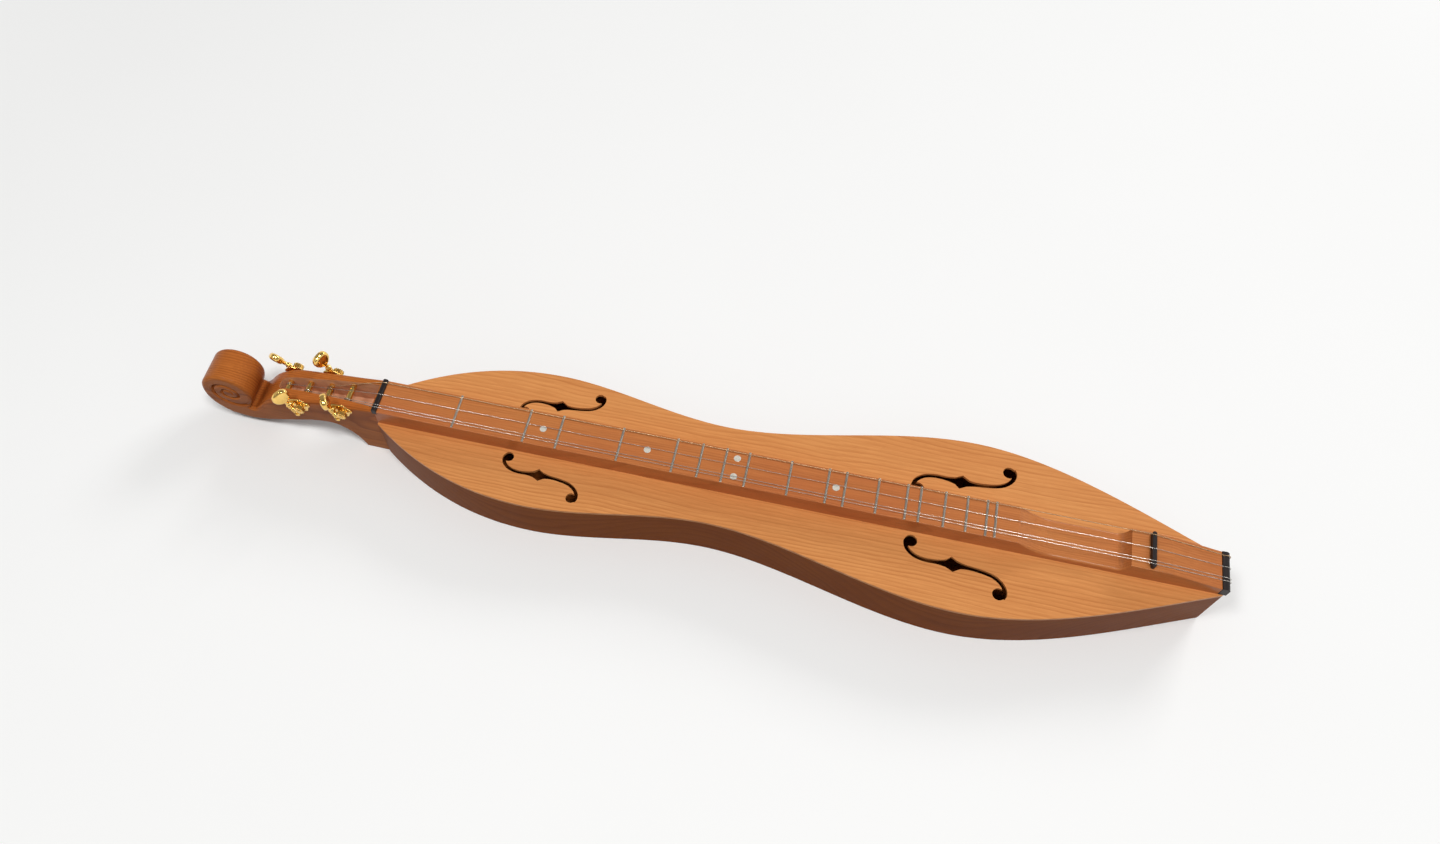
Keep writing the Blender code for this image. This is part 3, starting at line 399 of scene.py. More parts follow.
class NodeWork:
    """One material's node tree, built a step at a time."""

    edge_samples: ClassVar[int] = 4
    edge_gain: ClassVar[float] = 5.0

    def __init__(self, name: str) -> None:
        """Start a material with its Principled shader.

        Args:
            name: The material's name.
        """
        self.material = bpy.data.materials.new(name)
        self.material.use_nodes = True
        self.tree = self.material.node_tree
        self.shader = self.tree.nodes["Principled BSDF"]

    def add(self, kind: str, **settings: object) -> bpy.types.Node:
        """Add a node.

        Args:
            kind: The node's type.
            **settings: Its properties and their values.

        Returns:
            The node.
        """
        node = self.tree.nodes.new(kind)
        for key, value in settings.items():
            setattr(node, key, value)
        return node

    def feed(self, source: object, socket: bpy.types.NodeSocket) -> None:
        """Link a socket into another, or set its value.

        Args:
            source: A socket, or a plain value.
            socket: The socket that takes it.
        """
        if isinstance(source, bpy.types.NodeSocket):
            self.tree.links.new(source, socket)
        else:
            socket.default_value = source

    def set(self, **values: object) -> None:
        """Feed the shader's own sockets; underscores stand for the spaces in their names."""
        for key, value in values.items():
            self.feed(value, self.shader.inputs[key.replace("_", " ")])

    def maths(self, operation: str, a: object, b: object = 0.0,
              clamp: bool = False) -> bpy.types.NodeSocket:
        """Add a Math node.

        Args:
            operation: What it works out.
            a: Its first input.
            b: Its second input.
            clamp: Whether the result is kept between 0 and 1.

        Returns:
            The result.
        """
        node = self.add("ShaderNodeMath", operation=operation, use_clamp=clamp)
        self.feed(a, node.inputs[0])
        self.feed(b, node.inputs[1])
        return node.outputs[0]

    def place(self) -> bpy.types.NodeSocket:
        """The piece's own coordinates in metres."""
        return self.add("ShaderNodeTexCoord").outputs["Object"]

    def stretch(self, vector: bpy.types.NodeSocket, scale: Point3) -> bpy.types.NodeSocket:
        """Scale coordinates by unlike amounts.

        Args:
            vector: The coordinates.
            scale: The amounts along X, Y and Z.

        Returns:
            The scaled coordinates.
        """
        node = self.add("ShaderNodeMapping")
        self.feed(vector, node.inputs["Vector"])
        node.inputs["Scale"].default_value = scale
        return node.outputs["Vector"]

    def noise(self, vector: bpy.types.NodeSocket, scale: float, detail: float = 2.0,
              roughness: float = 0.5) -> bpy.types.NodeSocket:
        """Add a noise texture.

        Args:
            vector: Its coordinates.
            scale: Its scale.
            detail: How many finer layers it has.
            roughness: How strong those are.

        Returns:
            Its value.
        """
        node = self.add("ShaderNodeTexNoise")
        self.feed(vector, node.inputs["Vector"])
        node.inputs["Scale"].default_value = scale
        node.inputs["Detail"].default_value = detail
        node.inputs["Roughness"].default_value = roughness
        return node.outputs["Fac"]

    def streaks(self, vector: bpy.types.NodeSocket, scale: Point3, detail: float = 2.0,
                roughness: float = 0.5) -> bpy.types.NodeSocket:
        """A noise that is stretched by unlike amounts."""
        return self.noise(self.stretch(vector, scale), 1.0, detail, roughness)

    def scaled(self, value: bpy.types.NodeSocket, factor: float, offset: object) -> bpy.types.NodeSocket:
        """Multiply a value by a factor and add an offset."""
        return self.maths("ADD", self.maths("MULTIPLY", value, factor), offset)

    def ramp(self, factor: bpy.types.NodeSocket, stops: Sequence[Point2]) -> bpy.types.NodeSocket:
        """Map a value through a ramp of greys.

        Args:
            factor: The value.
            stops: The ramp's places and greys.

        Returns:
            The mapped value.
        """
        node = self.add("ShaderNodeValToRGB")
        set_stops(node, stops)
        self.feed(factor, node.inputs["Fac"])
        return node.outputs["Color"]

    def mix(self, factor: object, a: object, b: object) -> bpy.types.NodeSocket:
        """Mix two colours.

        Args:
            factor: The second colour's share.
            a: The first colour.
            b: The second colour.

        Returns:
            The mixed colour.
        """
        node = self.add("ShaderNodeMix", data_type="RGBA")
        self.feed(factor, node.inputs[0])
        self.feed(a, node.inputs[6])
        self.feed(b, node.inputs[7])
        return node.outputs[2]

    def bump(self, height: bpy.types.NodeSocket, strength: float,
             distance: float) -> bpy.types.NodeSocket:
        """Turn a height into a bumped normal.

        Args:
            height: The height, from 0 to 1.
            strength: The bump's strength.
            distance: How high a height of 1 stands, in metres.

        Returns:
            The normal.
        """
        node = self.add("ShaderNodeBump")
        node.inputs["Strength"].default_value = strength
        node.inputs["Distance"].default_value = distance
        self.feed(height, node.inputs["Height"])
        return node.outputs["Normal"]

    def edges(self, radius: float) -> bpy.types.NodeSocket:
        """Find edges and corners.

        Args:
            radius: How near an edge is felt.

        Returns:
            0 on flat places, rising to 1 where the surface turns within the radius.
        """
        rounded = self.add("ShaderNodeBevel", samples=self.edge_samples)
        rounded.inputs["Radius"].default_value = radius
        plain = self.add("ShaderNodeNewGeometry")
        dot = self.add("ShaderNodeVectorMath", operation="DOT_PRODUCT")
        self.feed(rounded.outputs["Normal"], dot.inputs[0])
        self.feed(plain.outputs["Normal"], dot.inputs[1])
        turned = self.maths("SUBTRACT", 1.0, dot.outputs["Value"])
        return self.maths("MULTIPLY", turned, self.edge_gain, clamp=True)


@dataclass(frozen=True)
class WoodFinish:
    """Oiled and rubbed wood with growth rings, fibres, pores and soft clouds of colour."""

    name: str
    pale: Colour
    line: Colour
    blush: Colour
    grain: Grain
    ring_spacing: float
    ring_depth: float
    blush_share: float
    roughness: float
    gloss_coat: float
    specular: float = 0.14
    coat_roughness: float = 0.20
    worn: float = 0.25
    worn_reach: float = 0.0007
    fibre_scale: Point3 = (28.0, 620.0, 620.0)
    fibre_roughness: float = 0.14
    pore_scale: Point3 = (130.0, 2600.0, 2600.0)
    pore_depth: float = 0.22
    cloud_scale: Point3 = (3.5, 13.0, 13.0)
    taper: float = 0.010
    waver_scale: Point3 = (5.0, 16.0, 16.0)
    waver: float = 0.020
    ripple_scale: Point3 = (26.0, 60.0, 60.0)
    ripple: float = 0.0016
    relief: float = 0.22
    relief_height: float = 0.00008

    def make(self) -> bpy.types.Material:
        """Build the wood's material.

        Returns:
            The material.
        """
        work = NodeWork(self.name)
        here = work.place()
        fibres = work.streaks(here, self.fibre_scale, 4.0, 0.6)
        pores = work.ramp(work.streaks(here, self.pore_scale, 1.0), ((0.60, 0.0), (0.72, 1.0)))
        clouds = work.ramp(work.streaks(here, self.cloud_scale, 3.0, 0.55), ((0.36, 0.0), (0.66, 1.0)))
        base = work.mix(work.maths("MULTIPLY", clouds, self.blush_share), self.pale, self.blush)
        lines = work.maths("MULTIPLY", self.rings(work, here), self.ring_depth)
        grained = work.mix(lines, base, self.line)
        streaked = work.mix(work.ramp(fibres, ((0.30, 0.34), (0.70, 0.0))), grained, self.line)
        pored = work.mix(work.maths("MULTIPLY", pores, self.pore_depth), streaked, self.line)
        rubbed = work.mix(work.maths("MULTIPLY", work.edges(self.worn_reach), self.worn), pored, self.pale)
        rough = work.scaled(fibres, self.fibre_roughness, self.roughness - self.fibre_roughness / 2)
        raised = work.maths("MULTIPLY", fibres, 0.5)
        height = work.maths("SUBTRACT", raised, work.maths("MULTIPLY", pores, 0.5))
        work.set(Base_Color=rubbed, Roughness=rough, Specular_IOR_Level=self.specular,
                 Coat_Weight=self.gloss_coat, Coat_Roughness=self.coat_roughness,
                 Normal=work.bump(height, self.relief, self.relief_height))
        return work.material

    def rings(self, work: NodeWork, here: bpy.types.NodeSocket) -> bpy.types.NodeSocket:
        """Make the growth rings: a soft rise to a dark line, then a clean start.

        Args:
            work: The node tree in the making.
            here: The piece's coordinates.

        Returns:
            The rings' depth from 0 to 1, each ring with a strength of its own.
        """
        parts = work.add("ShaderNodeSeparateXYZ")
        work.feed(here, parts.inputs[0])
        across, up = self.grain.value
        y = work.maths("SUBTRACT", parts.outputs["Y"], across)
        z = work.maths("SUBTRACT", parts.outputs["Z"], up)
        square = work.maths("ADD", work.maths("MULTIPLY", y, y), work.maths("MULTIPLY", z, z))
        radius = work.scaled(parts.outputs["X"], self.taper, work.maths("SQRT", square))
        radius = work.scaled(work.streaks(here, self.waver_scale, 2.0, 0.45), self.waver, radius)
        radius = work.scaled(work.streaks(here, self.ripple_scale, 1.0), self.ripple, radius)
        count = work.maths("DIVIDE", radius, self.ring_spacing)
        own = work.add("ShaderNodeTexWhiteNoise", noise_dimensions="1D")
        work.feed(work.maths("FLOOR", count), own.inputs["W"])
        strength = work.ramp(own.outputs["Value"], ((0.0, 0.25), (1.0, 1.0)))
        pattern = work.ramp(work.maths("FRACT", count), ((0.0, 0.10), (0.12, 0.0), (0.45, 0.12),
                                                         (0.80, 0.75), (0.92, 1.0), (1.0, 0.10)))
        return work.maths("MULTIPLY", pattern, strength)


@dataclass(frozen=True)
class MetalFinish:
    """Plated or polished metal with fine scuffs, cloudy tarnish and bright rubbed edges."""

    name: str
    bright: Colour
    dull: Colour
    roughness: float
    scuff: float = 0.10
    scuff_scale: Point3 = (900.0, 7000.0, 2600.0)
    cloud_scale: float = 210.0
    cloud_roughness: float = 0.06
    worn: float = 0.5
    worn_reach: float = 0.00025
    dent_scale: float = 260.0
    dent_share: float = 3.0
    relief: float = 0.10
    relief_height: float = 0.00003

    def make(self) -> bpy.types.Material:
        """Build the metal's material.

        Returns:
            The material.
        """
        work = NodeWork(self.name)
        here = work.place()
        clouds = work.ramp(work.noise(here, self.cloud_scale, 3.0, 0.6), ((0.42, 0.0), (0.75, 0.6)))
        scuffs = work.streaks(here, self.scuff_scale, 2.0, 0.6)
        tint = work.mix(clouds, self.bright, self.dull)
        tint = work.mix(work.maths("MULTIPLY", work.edges(self.worn_reach), self.worn), tint, self.bright)
        rough = work.scaled(scuffs, self.scuff, self.roughness - self.scuff / 2)
        rough = work.scaled(clouds, self.cloud_roughness, rough)
        height = work.scaled(work.noise(here, self.dent_scale, 1.0), self.dent_share, scuffs)
        work.set(Base_Color=tint, Roughness=rough, Metallic=1.0,
                 Normal=work.bump(height, self.relief, self.relief_height))
        return work.material


@dataclass(frozen=True)
class EbonyFinish:
    """Near-black close-grained wood, buffed."""

    name: str = "ebony_buffed"
    black: Colour = srgb(27, 21, 21)
    brown: Colour = srgb(56, 40, 34)
    streak_scale: Point3 = (1500.0, 90.0, 1500.0)
    roughness: float = 0.36
    streak_roughness: float = 0.16
    specular: float = 0.3
    worn: float = 0.35
    worn_reach: float = 0.0004
    relief: float = 0.15
    relief_height: float = 0.00005

    def make(self) -> bpy.types.Material:
        """Build the ebony's material; its streaks run along the piece, across the instrument.

        Returns:
            The material.
        """
        work = NodeWork(self.name)
        streaks = work.streaks(work.place(), self.streak_scale, 3.0, 0.6)
        tint = work.mix(work.ramp(streaks, ((0.45, 0.0), (0.75, 0.55))), self.black, self.brown)
        tint = work.mix(work.maths("MULTIPLY", work.edges(self.worn_reach), self.worn), tint, self.brown)
        work.set(Base_Color=tint, Roughness=work.scaled(streaks, self.streak_roughness, self.roughness),
                 Specular_IOR_Level=self.specular,
                 Normal=work.bump(streaks, self.relief, self.relief_height))
        return work.material


@dataclass(frozen=True)
class PearlFinish:
    """Mother-of-pearl: drifting cream, green-grey and rose under a hard polish."""

    name: str = "mother_of_pearl"
    cream: Colour = srgb(216, 209, 194)
    sea: Colour = srgb(188, 196, 190)
    rose: Colour = srgb(218, 201, 190)
    drift_scale: Point3 = (420.0, 900.0, 600.0)
    layer_scale: Point3 = (1500.0, 380.0, 900.0)
    roughness: float = 0.12
    layer_roughness: float = 0.15
    polish: float = 0.6
    polish_roughness: float = 0.05
    relief: float = 0.10
    relief_height: float = 0.00005

    def make(self) -> bpy.types.Material:
        """Build the pearl's material.

        Returns:
            The material.
        """
        work = NodeWork(self.name)
        here = work.place()
        drift = work.streaks(here, self.drift_scale, 2.0, 0.6)
        layers = work.streaks(here, self.layer_scale, 3.0, 0.5)
        tint = work.mix(work.ramp(drift, ((0.40, 0.0), (0.65, 0.8))), self.cream, self.sea)
        tint = work.mix(work.ramp(layers, ((0.48, 0.0), (0.68, 0.7))), tint, self.rose)
        work.set(Base_Color=tint, Roughness=work.scaled(layers, self.layer_roughness, self.roughness),
                 Coat_Weight=self.polish, Coat_Roughness=self.polish_roughness,
                 Normal=work.bump(drift, self.relief, self.relief_height))
        return work.material


@dataclass(frozen=True)
class WoundFinish:
    """A string wound with fine bronze wire, with painted shade in the grooves between its turns."""

    name: str = "wound_bronze"
    bronze: Colour = srgb(222, 190, 150)
    brown: Colour = srgb(160, 120, 82)
    wire: float = 0.00018
    wear_scale: float = 300.0
    roughness: float = 0.25
    wear_roughness: float = 0.15
    relief: float = 0.5
    relief_height: float = 0.00004

    def make(self) -> bpy.types.Material:
        """Build the winding's material; its turns follow the instrument's length.

        Returns:
            The material.
        """
        work = NodeWork(self.name)
        here = work.place()
        parts = work.add("ShaderNodeSeparateXYZ")
        work.feed(here, parts.inputs[0])
        turns = work.maths("SINE", work.maths("MULTIPLY", parts.outputs["X"], 2 * math.pi / self.wire))
        wear = work.noise(here, self.wear_scale, 2.0)
        # Painted shade: the grooves between the wire's turns are mixed towards the darker brown.
        tint = work.mix(work.ramp(turns, ((0.0, 0.7), (0.6, 0.0))), self.bronze, self.brown)
        tint = work.mix(work.ramp(wear, ((0.5, 0.0), (0.8, 0.5))), tint, self.brown)
        work.set(Base_Color=tint, Roughness=work.scaled(wear, self.wear_roughness, self.roughness),
                 Metallic=1.0, Normal=work.bump(turns, self.relief, self.relief_height))
        return work.material


@dataclass(frozen=True)
class Palette:
    """Every finish on the instrument."""

    top: WoodFinish = WoodFinish(
        "cherry_soundboard", srgb(226, 156, 92), srgb(172, 98, 46), srgb(212, 132, 72), Grain.RIFT,
        ring_spacing=0.0032, ring_depth=0.55, blush_share=0.45, roughness=0.38, gloss_coat=0.10)
    board: WoodFinish = WoodFinish(
        "cherry_fretboard", srgb(202, 128, 70), srgb(154, 82, 40), srgb(188, 102, 58), Grain.QUARTER,
        ring_spacing=0.0026, ring_depth=0.50, blush_share=0.60, roughness=0.38, gloss_coat=0.25)
    head: WoodFinish = WoodFinish(
        "cherry_peghead", srgb(198, 118, 54), srgb(126, 60, 22), srgb(178, 92, 38), Grain.QUARTER,
        ring_spacing=0.0024, ring_depth=0.75, blush_share=0.55, roughness=0.30, gloss_coat=0.08,
        specular=0.04)
    # Painted light: a paler cherry on the pegbox's inner faces, standing in for light inside the pocket.
    pegbox: WoodFinish = WoodFinish(
        "cherry_oiled_thin", srgb(230, 180, 142), srgb(184, 124, 88), srgb(214, 152, 116), Grain.QUARTER,
        ring_spacing=0.0034, ring_depth=0.50, blush_share=0.50, roughness=0.50, gloss_coat=0.0)
    # Painted shade: a darker copy of the cherry for the sides, back and tail block, as if always in shade.
    sides: WoodFinish = WoodFinish(
        "cherry_sides", srgb(156, 86, 36), srgb(104, 50, 16), srgb(134, 66, 24), Grain.SLAB,
        ring_spacing=0.0040, ring_depth=0.55, blush_share=0.60, roughness=0.40, gloss_coat=0.0,
        specular=0.03)
    inside: WoodFinish = WoodFinish(
        "bare_spruce", srgb(214, 180, 132), srgb(176, 134, 88), srgb(204, 164, 116), Grain.QUARTER,
        ring_spacing=0.0018, ring_depth=0.50, blush_share=0.30, roughness=0.62, gloss_coat=0.0)
    gold: MetalFinish = MetalFinish("gold_plate", srgb(252, 210, 122), srgb(216, 164, 80), roughness=0.12)
    nickel: MetalFinish = MetalFinish("nickel_silver", srgb(188, 182, 170), srgb(150, 142, 130),
                                      roughness=0.36, scuff=0.16)
    steel: MetalFinish = MetalFinish("plain_steel", srgb(204, 198, 190), srgb(158, 152, 146), roughness=0.20)
    bronze: WoundFinish = WoundFinish()
    ebony: EbonyFinish = EbonyFinish()
    pearl: PearlFinish = PearlFinish()


class Rack:
    """Holds the finished materials, each made once."""

    def __init__(self, palette: Palette) -> None:
        """Start with nothing made."""
        self.palette = palette
        self.made: dict[str, bpy.types.Material] = {}

    def get(self, finish: str) -> bpy.types.Material:
        """Give the material of a finish.

        Args:
            finish: The palette's name for it.

        Returns:
            The material, made at the first call.
        """
        if finish not in self.made:
            self.made[finish] = getattr(self.palette, finish).make()
        return self.made[finish]


@dataclass
class SubAssembly:
    """A group of pieces that is built, dressed and placed together."""

    flat_angle: ClassVar[float] = 0.5
    sharp_angle: ClassVar[float] = 35

    rack: Rack
    pieces: list[bpy.types.Object] = field(default_factory=list, init=False)

    def wear(self, piece: bpy.types.Object, finish: str) -> None:
        """Give a piece one finish."""
        piece.data.materials.clear()
        piece.data.materials.append(self.rack.get(finish))

    def install(self, piece: bpy.types.Object, finish: str, slot: str, nodes: Sequence[str],
                body: str = STATIC_BODY, matrix: Matrix = Matrix.Identity(4)) -> None:
        """Dress a piece, put it in its place and let it stand for its nodes.

        Args:
            piece: The piece, its mesh in the coordinates that the matrix places.
            finish: The palette's name for its finish.
            slot: The record's material slot; not used.
            nodes: The nodes that it stands for.
            body: The body that it moves with.
            matrix: Its place in the instrument's own coordinates.
        """
        self.wear(piece, finish)
        piece.data.transform(matrix)
        piece.matrix_world = Matrix.Translation(ORIGIN)
        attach(piece, body)
        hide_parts(*nodes)
        self.pieces.append(piece)

    def refine(self, node: str, width: float, segments: int = 3, angle: float = 40) -> bpy.types.Object:
        """Copy a node's shape, with its flat faces joined and its edges rounded.

        Args:
            node: The node's name.
            width: The width of the rounding.
            segments: How many faces cross it.
            angle: The least angle of an edge that is rounded, in degrees.

        Returns:
            The refined piece in the instrument's coordinates, not yet placed.
        """
        bm = bmesh.new()
        bm.from_mesh(frame["nodes"][node].data)
        bmesh.ops.remove_doubles(bm, verts=bm.verts, dist=MERGE_DISTANCE)
        flat = math.radians(self.flat_angle)
        bmesh.ops.dissolve_limit(bm, angle_limit=flat, verts=bm.verts, edges=bm.edges)
        bmesh.ops.translate(bm, verts=bm.verts, vec=-ORIGIN)
        piece = finish_mesh(node + "_finished", bm)
        soften(piece, width, segments, angle)
        shade(piece, self.sharp_angle)
        return piece

    def report(self) -> None:
        """Log nothing; the pieces go unreported."""


@dataclass
class Body(SubAssembly):
    """Soundboard with four sound holes, bent sides, back, end blocks and braces."""

    plate: float = 0.0030
    side: float = 0.0025
    side_inset: float = 0.00005
    head_half_width: float = 0.0200
    head_flare: float = 0.70
    upper_bout: Point2 = (0.163, 0.0730)
    waist: Point2 = (0.335, 0.0520)
    lower_bout: Point2 = (0.566, 0.0866)
    tail_half_width: float = 0.0187
    tail_flare: float = -0.42
    steps: int = 150
    edge_round: float = 0.0006
    inner_round: float = 0.0004
    sound_holes: tuple[Point3, ...] = ((0.1695, 0.0389, 1.0), (0.5583, 0.0424, 1.167))
    spine: tuple[Point2, ...] = (
        (-0.0345, -0.0158), (-0.0369, -0.0121), (-0.0360, -0.0072), (-0.0330, -0.0035),
        (-0.0280, -0.0006), (-0.0205, 0.0009), (-0.0110, 0.0006), (0.0, 0.0),
        (0.0105, 0.0001), (0.0205, 0.0009), (0.0305, 0.0030), (0.0368, 0.0068),
        (0.0404, 0.0116), (0.0411, 0.0164), (0.0396, 0.0195))
    stem_half_width: float = 0.0017
    stem_swell: float = 0.0023
    swell_reach: float = 0.0075
    upper_point: Point2 = (0.0009, 0.0062)
    lower_point: Point2 = (-0.0010, -0.0063)
    point_reach: float = 0.0035
    bulb_radius: float = 0.0049
    bulb_sides: int = 48
    outer_bulb: Point2 = (0.0366, 0.0166)
    inner_bulb: Point2 = (-0.0330, -0.0128)
    cutter_reach: float = 0.010
    slope_step: float = 0.0005

    def half_width(self, x: float) -> float:
        """Read half the body's width.

        Args:
            x: The distance from the nut.

        Returns:
            Half the width there.
        """
        knots = ((0.0, self.head_half_width, self.head_flare), (*self.upper_bout, 0.0), (*self.waist, 0.0),
                 (*self.lower_bout, 0.0), (BODY_END, self.tail_half_width, self.tail_flare))
        for (x0, w0, s0), (x1, w1, s1) in zip(knots, knots[1:]):
            if x <= x1 or x1 == BODY_END:
                span = x1 - x0
                return hermite((x - x0) / span, w0, s0 * span, w1, s1 * span)
        return self.tail_half_width

    def inner_width(self, x: float, depth: float) -> float:
        """Read half the width inside the outline.

        Args:
            x: The distance from the nut.
            depth: How far inside, measured square to the outline.

        Returns:
            Half the width there.
        """
        step = self.slope_step
        slope = (self.half_width(x + step) - self.half_width(x - step)) / (2 * step)
        return self.half_width(x) - depth * math.sqrt(1 + slope * slope)

    def outline(self) -> list[Point2]:
        """The plates' outline."""
        far = [(x, self.half_width(x)) for x in stations(SEAM, BODY_END, self.steps)]
        return far + [(x, -wide) for x, wide in reversed(far)]

    def hole_cutters(self, name: str, hole: Point3, side: int) -> list[bpy.types.Object]:
        """Make one f-shaped hole's cutters: a tapering stem with a pointed middle, and two round bulbs.

        Args:
            name: What the cutters' names start with.
            hole: The hole's place along and across the body, and its scale.
            side: 1 for the far side, -1 for the near one.

        Returns:
            The cutters.
        """
        x, y, scale = hole
        spine = through(self.spine, 5)
        upper: list[Point2] = []
        lower: list[Point2] = []
        for i, (a, b) in enumerate(spine):
            along = (Vector(spine[min(i + 1, len(spine) - 1)]) - Vector(spine[max(i - 1, 0)])).normalized()
            wide = self.stem_half_width + self.stem_swell * math.exp(-(a / self.swell_reach) ** 2)
            upper.append((a - along.y * wide, b + along.x * wide))
            lower.append((a + along.y * wide, b - along.x * wide))
        upper = self.with_point(upper, self.upper_point)
        lower = self.with_point(lower, self.lower_point)
        shape = [(x + scale * a, side * (y + scale * b)) for a, b in upper + lower[::-1]]
        reach = self.cutter_reach
        radius = self.bulb_radius * scale
        cutters = [prism(name + "_stem", shape, -BOARD_HEIGHT - reach, -BOARD_HEIGHT + reach)]
        for label, (a, b) in (("outer", self.outer_bulb), ("inner", self.inner_bulb)):
            bulb = lathe(f"{name}_{label}", ((-reach, radius), (reach, radius)), self.bulb_sides)
            centre = (x + scale * a, side * (y + scale * b), -BOARD_HEIGHT)
            cutters.append(move(bulb, Matrix.Translation(centre)))
        return cutters

    def with_point(self, edge: list[Point2], point: Point2) -> list[Point2]:
        """Let an edge of the stem run out to one point near its middle.

        Args:
            edge: The edge's points.
            point: The point that it runs out to.

        Returns:
            The edge with the point.
        """
        turn = max(i for i, (a, _) in enumerate(edge) if a < point[0] - self.point_reach)
        late = next(i for i, (a, _) in enumerate(edge) if i > turn and a > point[0] + self.point_reach)
        return edge[:turn + 1] + [point] + edge[late:]

    def build(self) -> None:
        """Make the body's pieces."""
        top = -BOARD_HEIGHT
        soundboard = prism("soundboard_finished", self.outline(), top - self.plate, top)
        for number, hole in enumerate(self.sound_holes):
            for side in (-1, 1):
                carve(soundboard, self.hole_cutters(f"hole_{number}_{side + 1}", hole, side))
        back = prism("back_finished", self.outline(), BACK_Z, BACK_Z + self.plate)
        for plate in (soundboard, back):
            soften(plate, self.edge_round, segments=3, angle=50)
            shade(plate)
        self.install(soundboard, "top", "cherry_top", ["soundboard"])
        # The back and sides wear the darker cherry: painted shade.
        self.install(back, "sides", "cherry_side", ["back"])
        for name, side in (("side_near", -1), ("side_far", 1)):
            self.install(self.bent_side(name + "_finished", side), "sides", "cherry_side", [name])
        for node in ("head_end_block", "top_brace_1", "top_brace_2", "back_brace_1", "back_brace_2"):
            self.install(self.refine(node, self.inner_round), "inside", "inner_spruce", [node])
        tail_block = self.refine("tail_end_block", self.inner_round)
        self.install(tail_block, "sides", "cherry_side", ["tail_end_block"])

    def bent_side(self, name: str, side: int) -> bpy.types.Object:
        """Bend one rib round the outline from end to end, glued to both plates.

        Args:
            name: The rib's name.
            side: 1 for the far side, -1 for the near one.

        Returns:
            The rib.
        """
        low = BACK_Z + self.plate
        high = -BOARD_HEIGHT - self.plate
        rings = []
        for x in stations(SEAM, BODY_END, self.steps):
            outer = side * (self.half_width(x) - self.side_inset)
            inner = side * self.inner_width(x, self.side)
            rings.append([(x, outer, low), (x, outer, high), (x, inner, high), (x, inner, low)])
        rib = skin(name, rings)
        shade(rib, angle=30)
        return rib


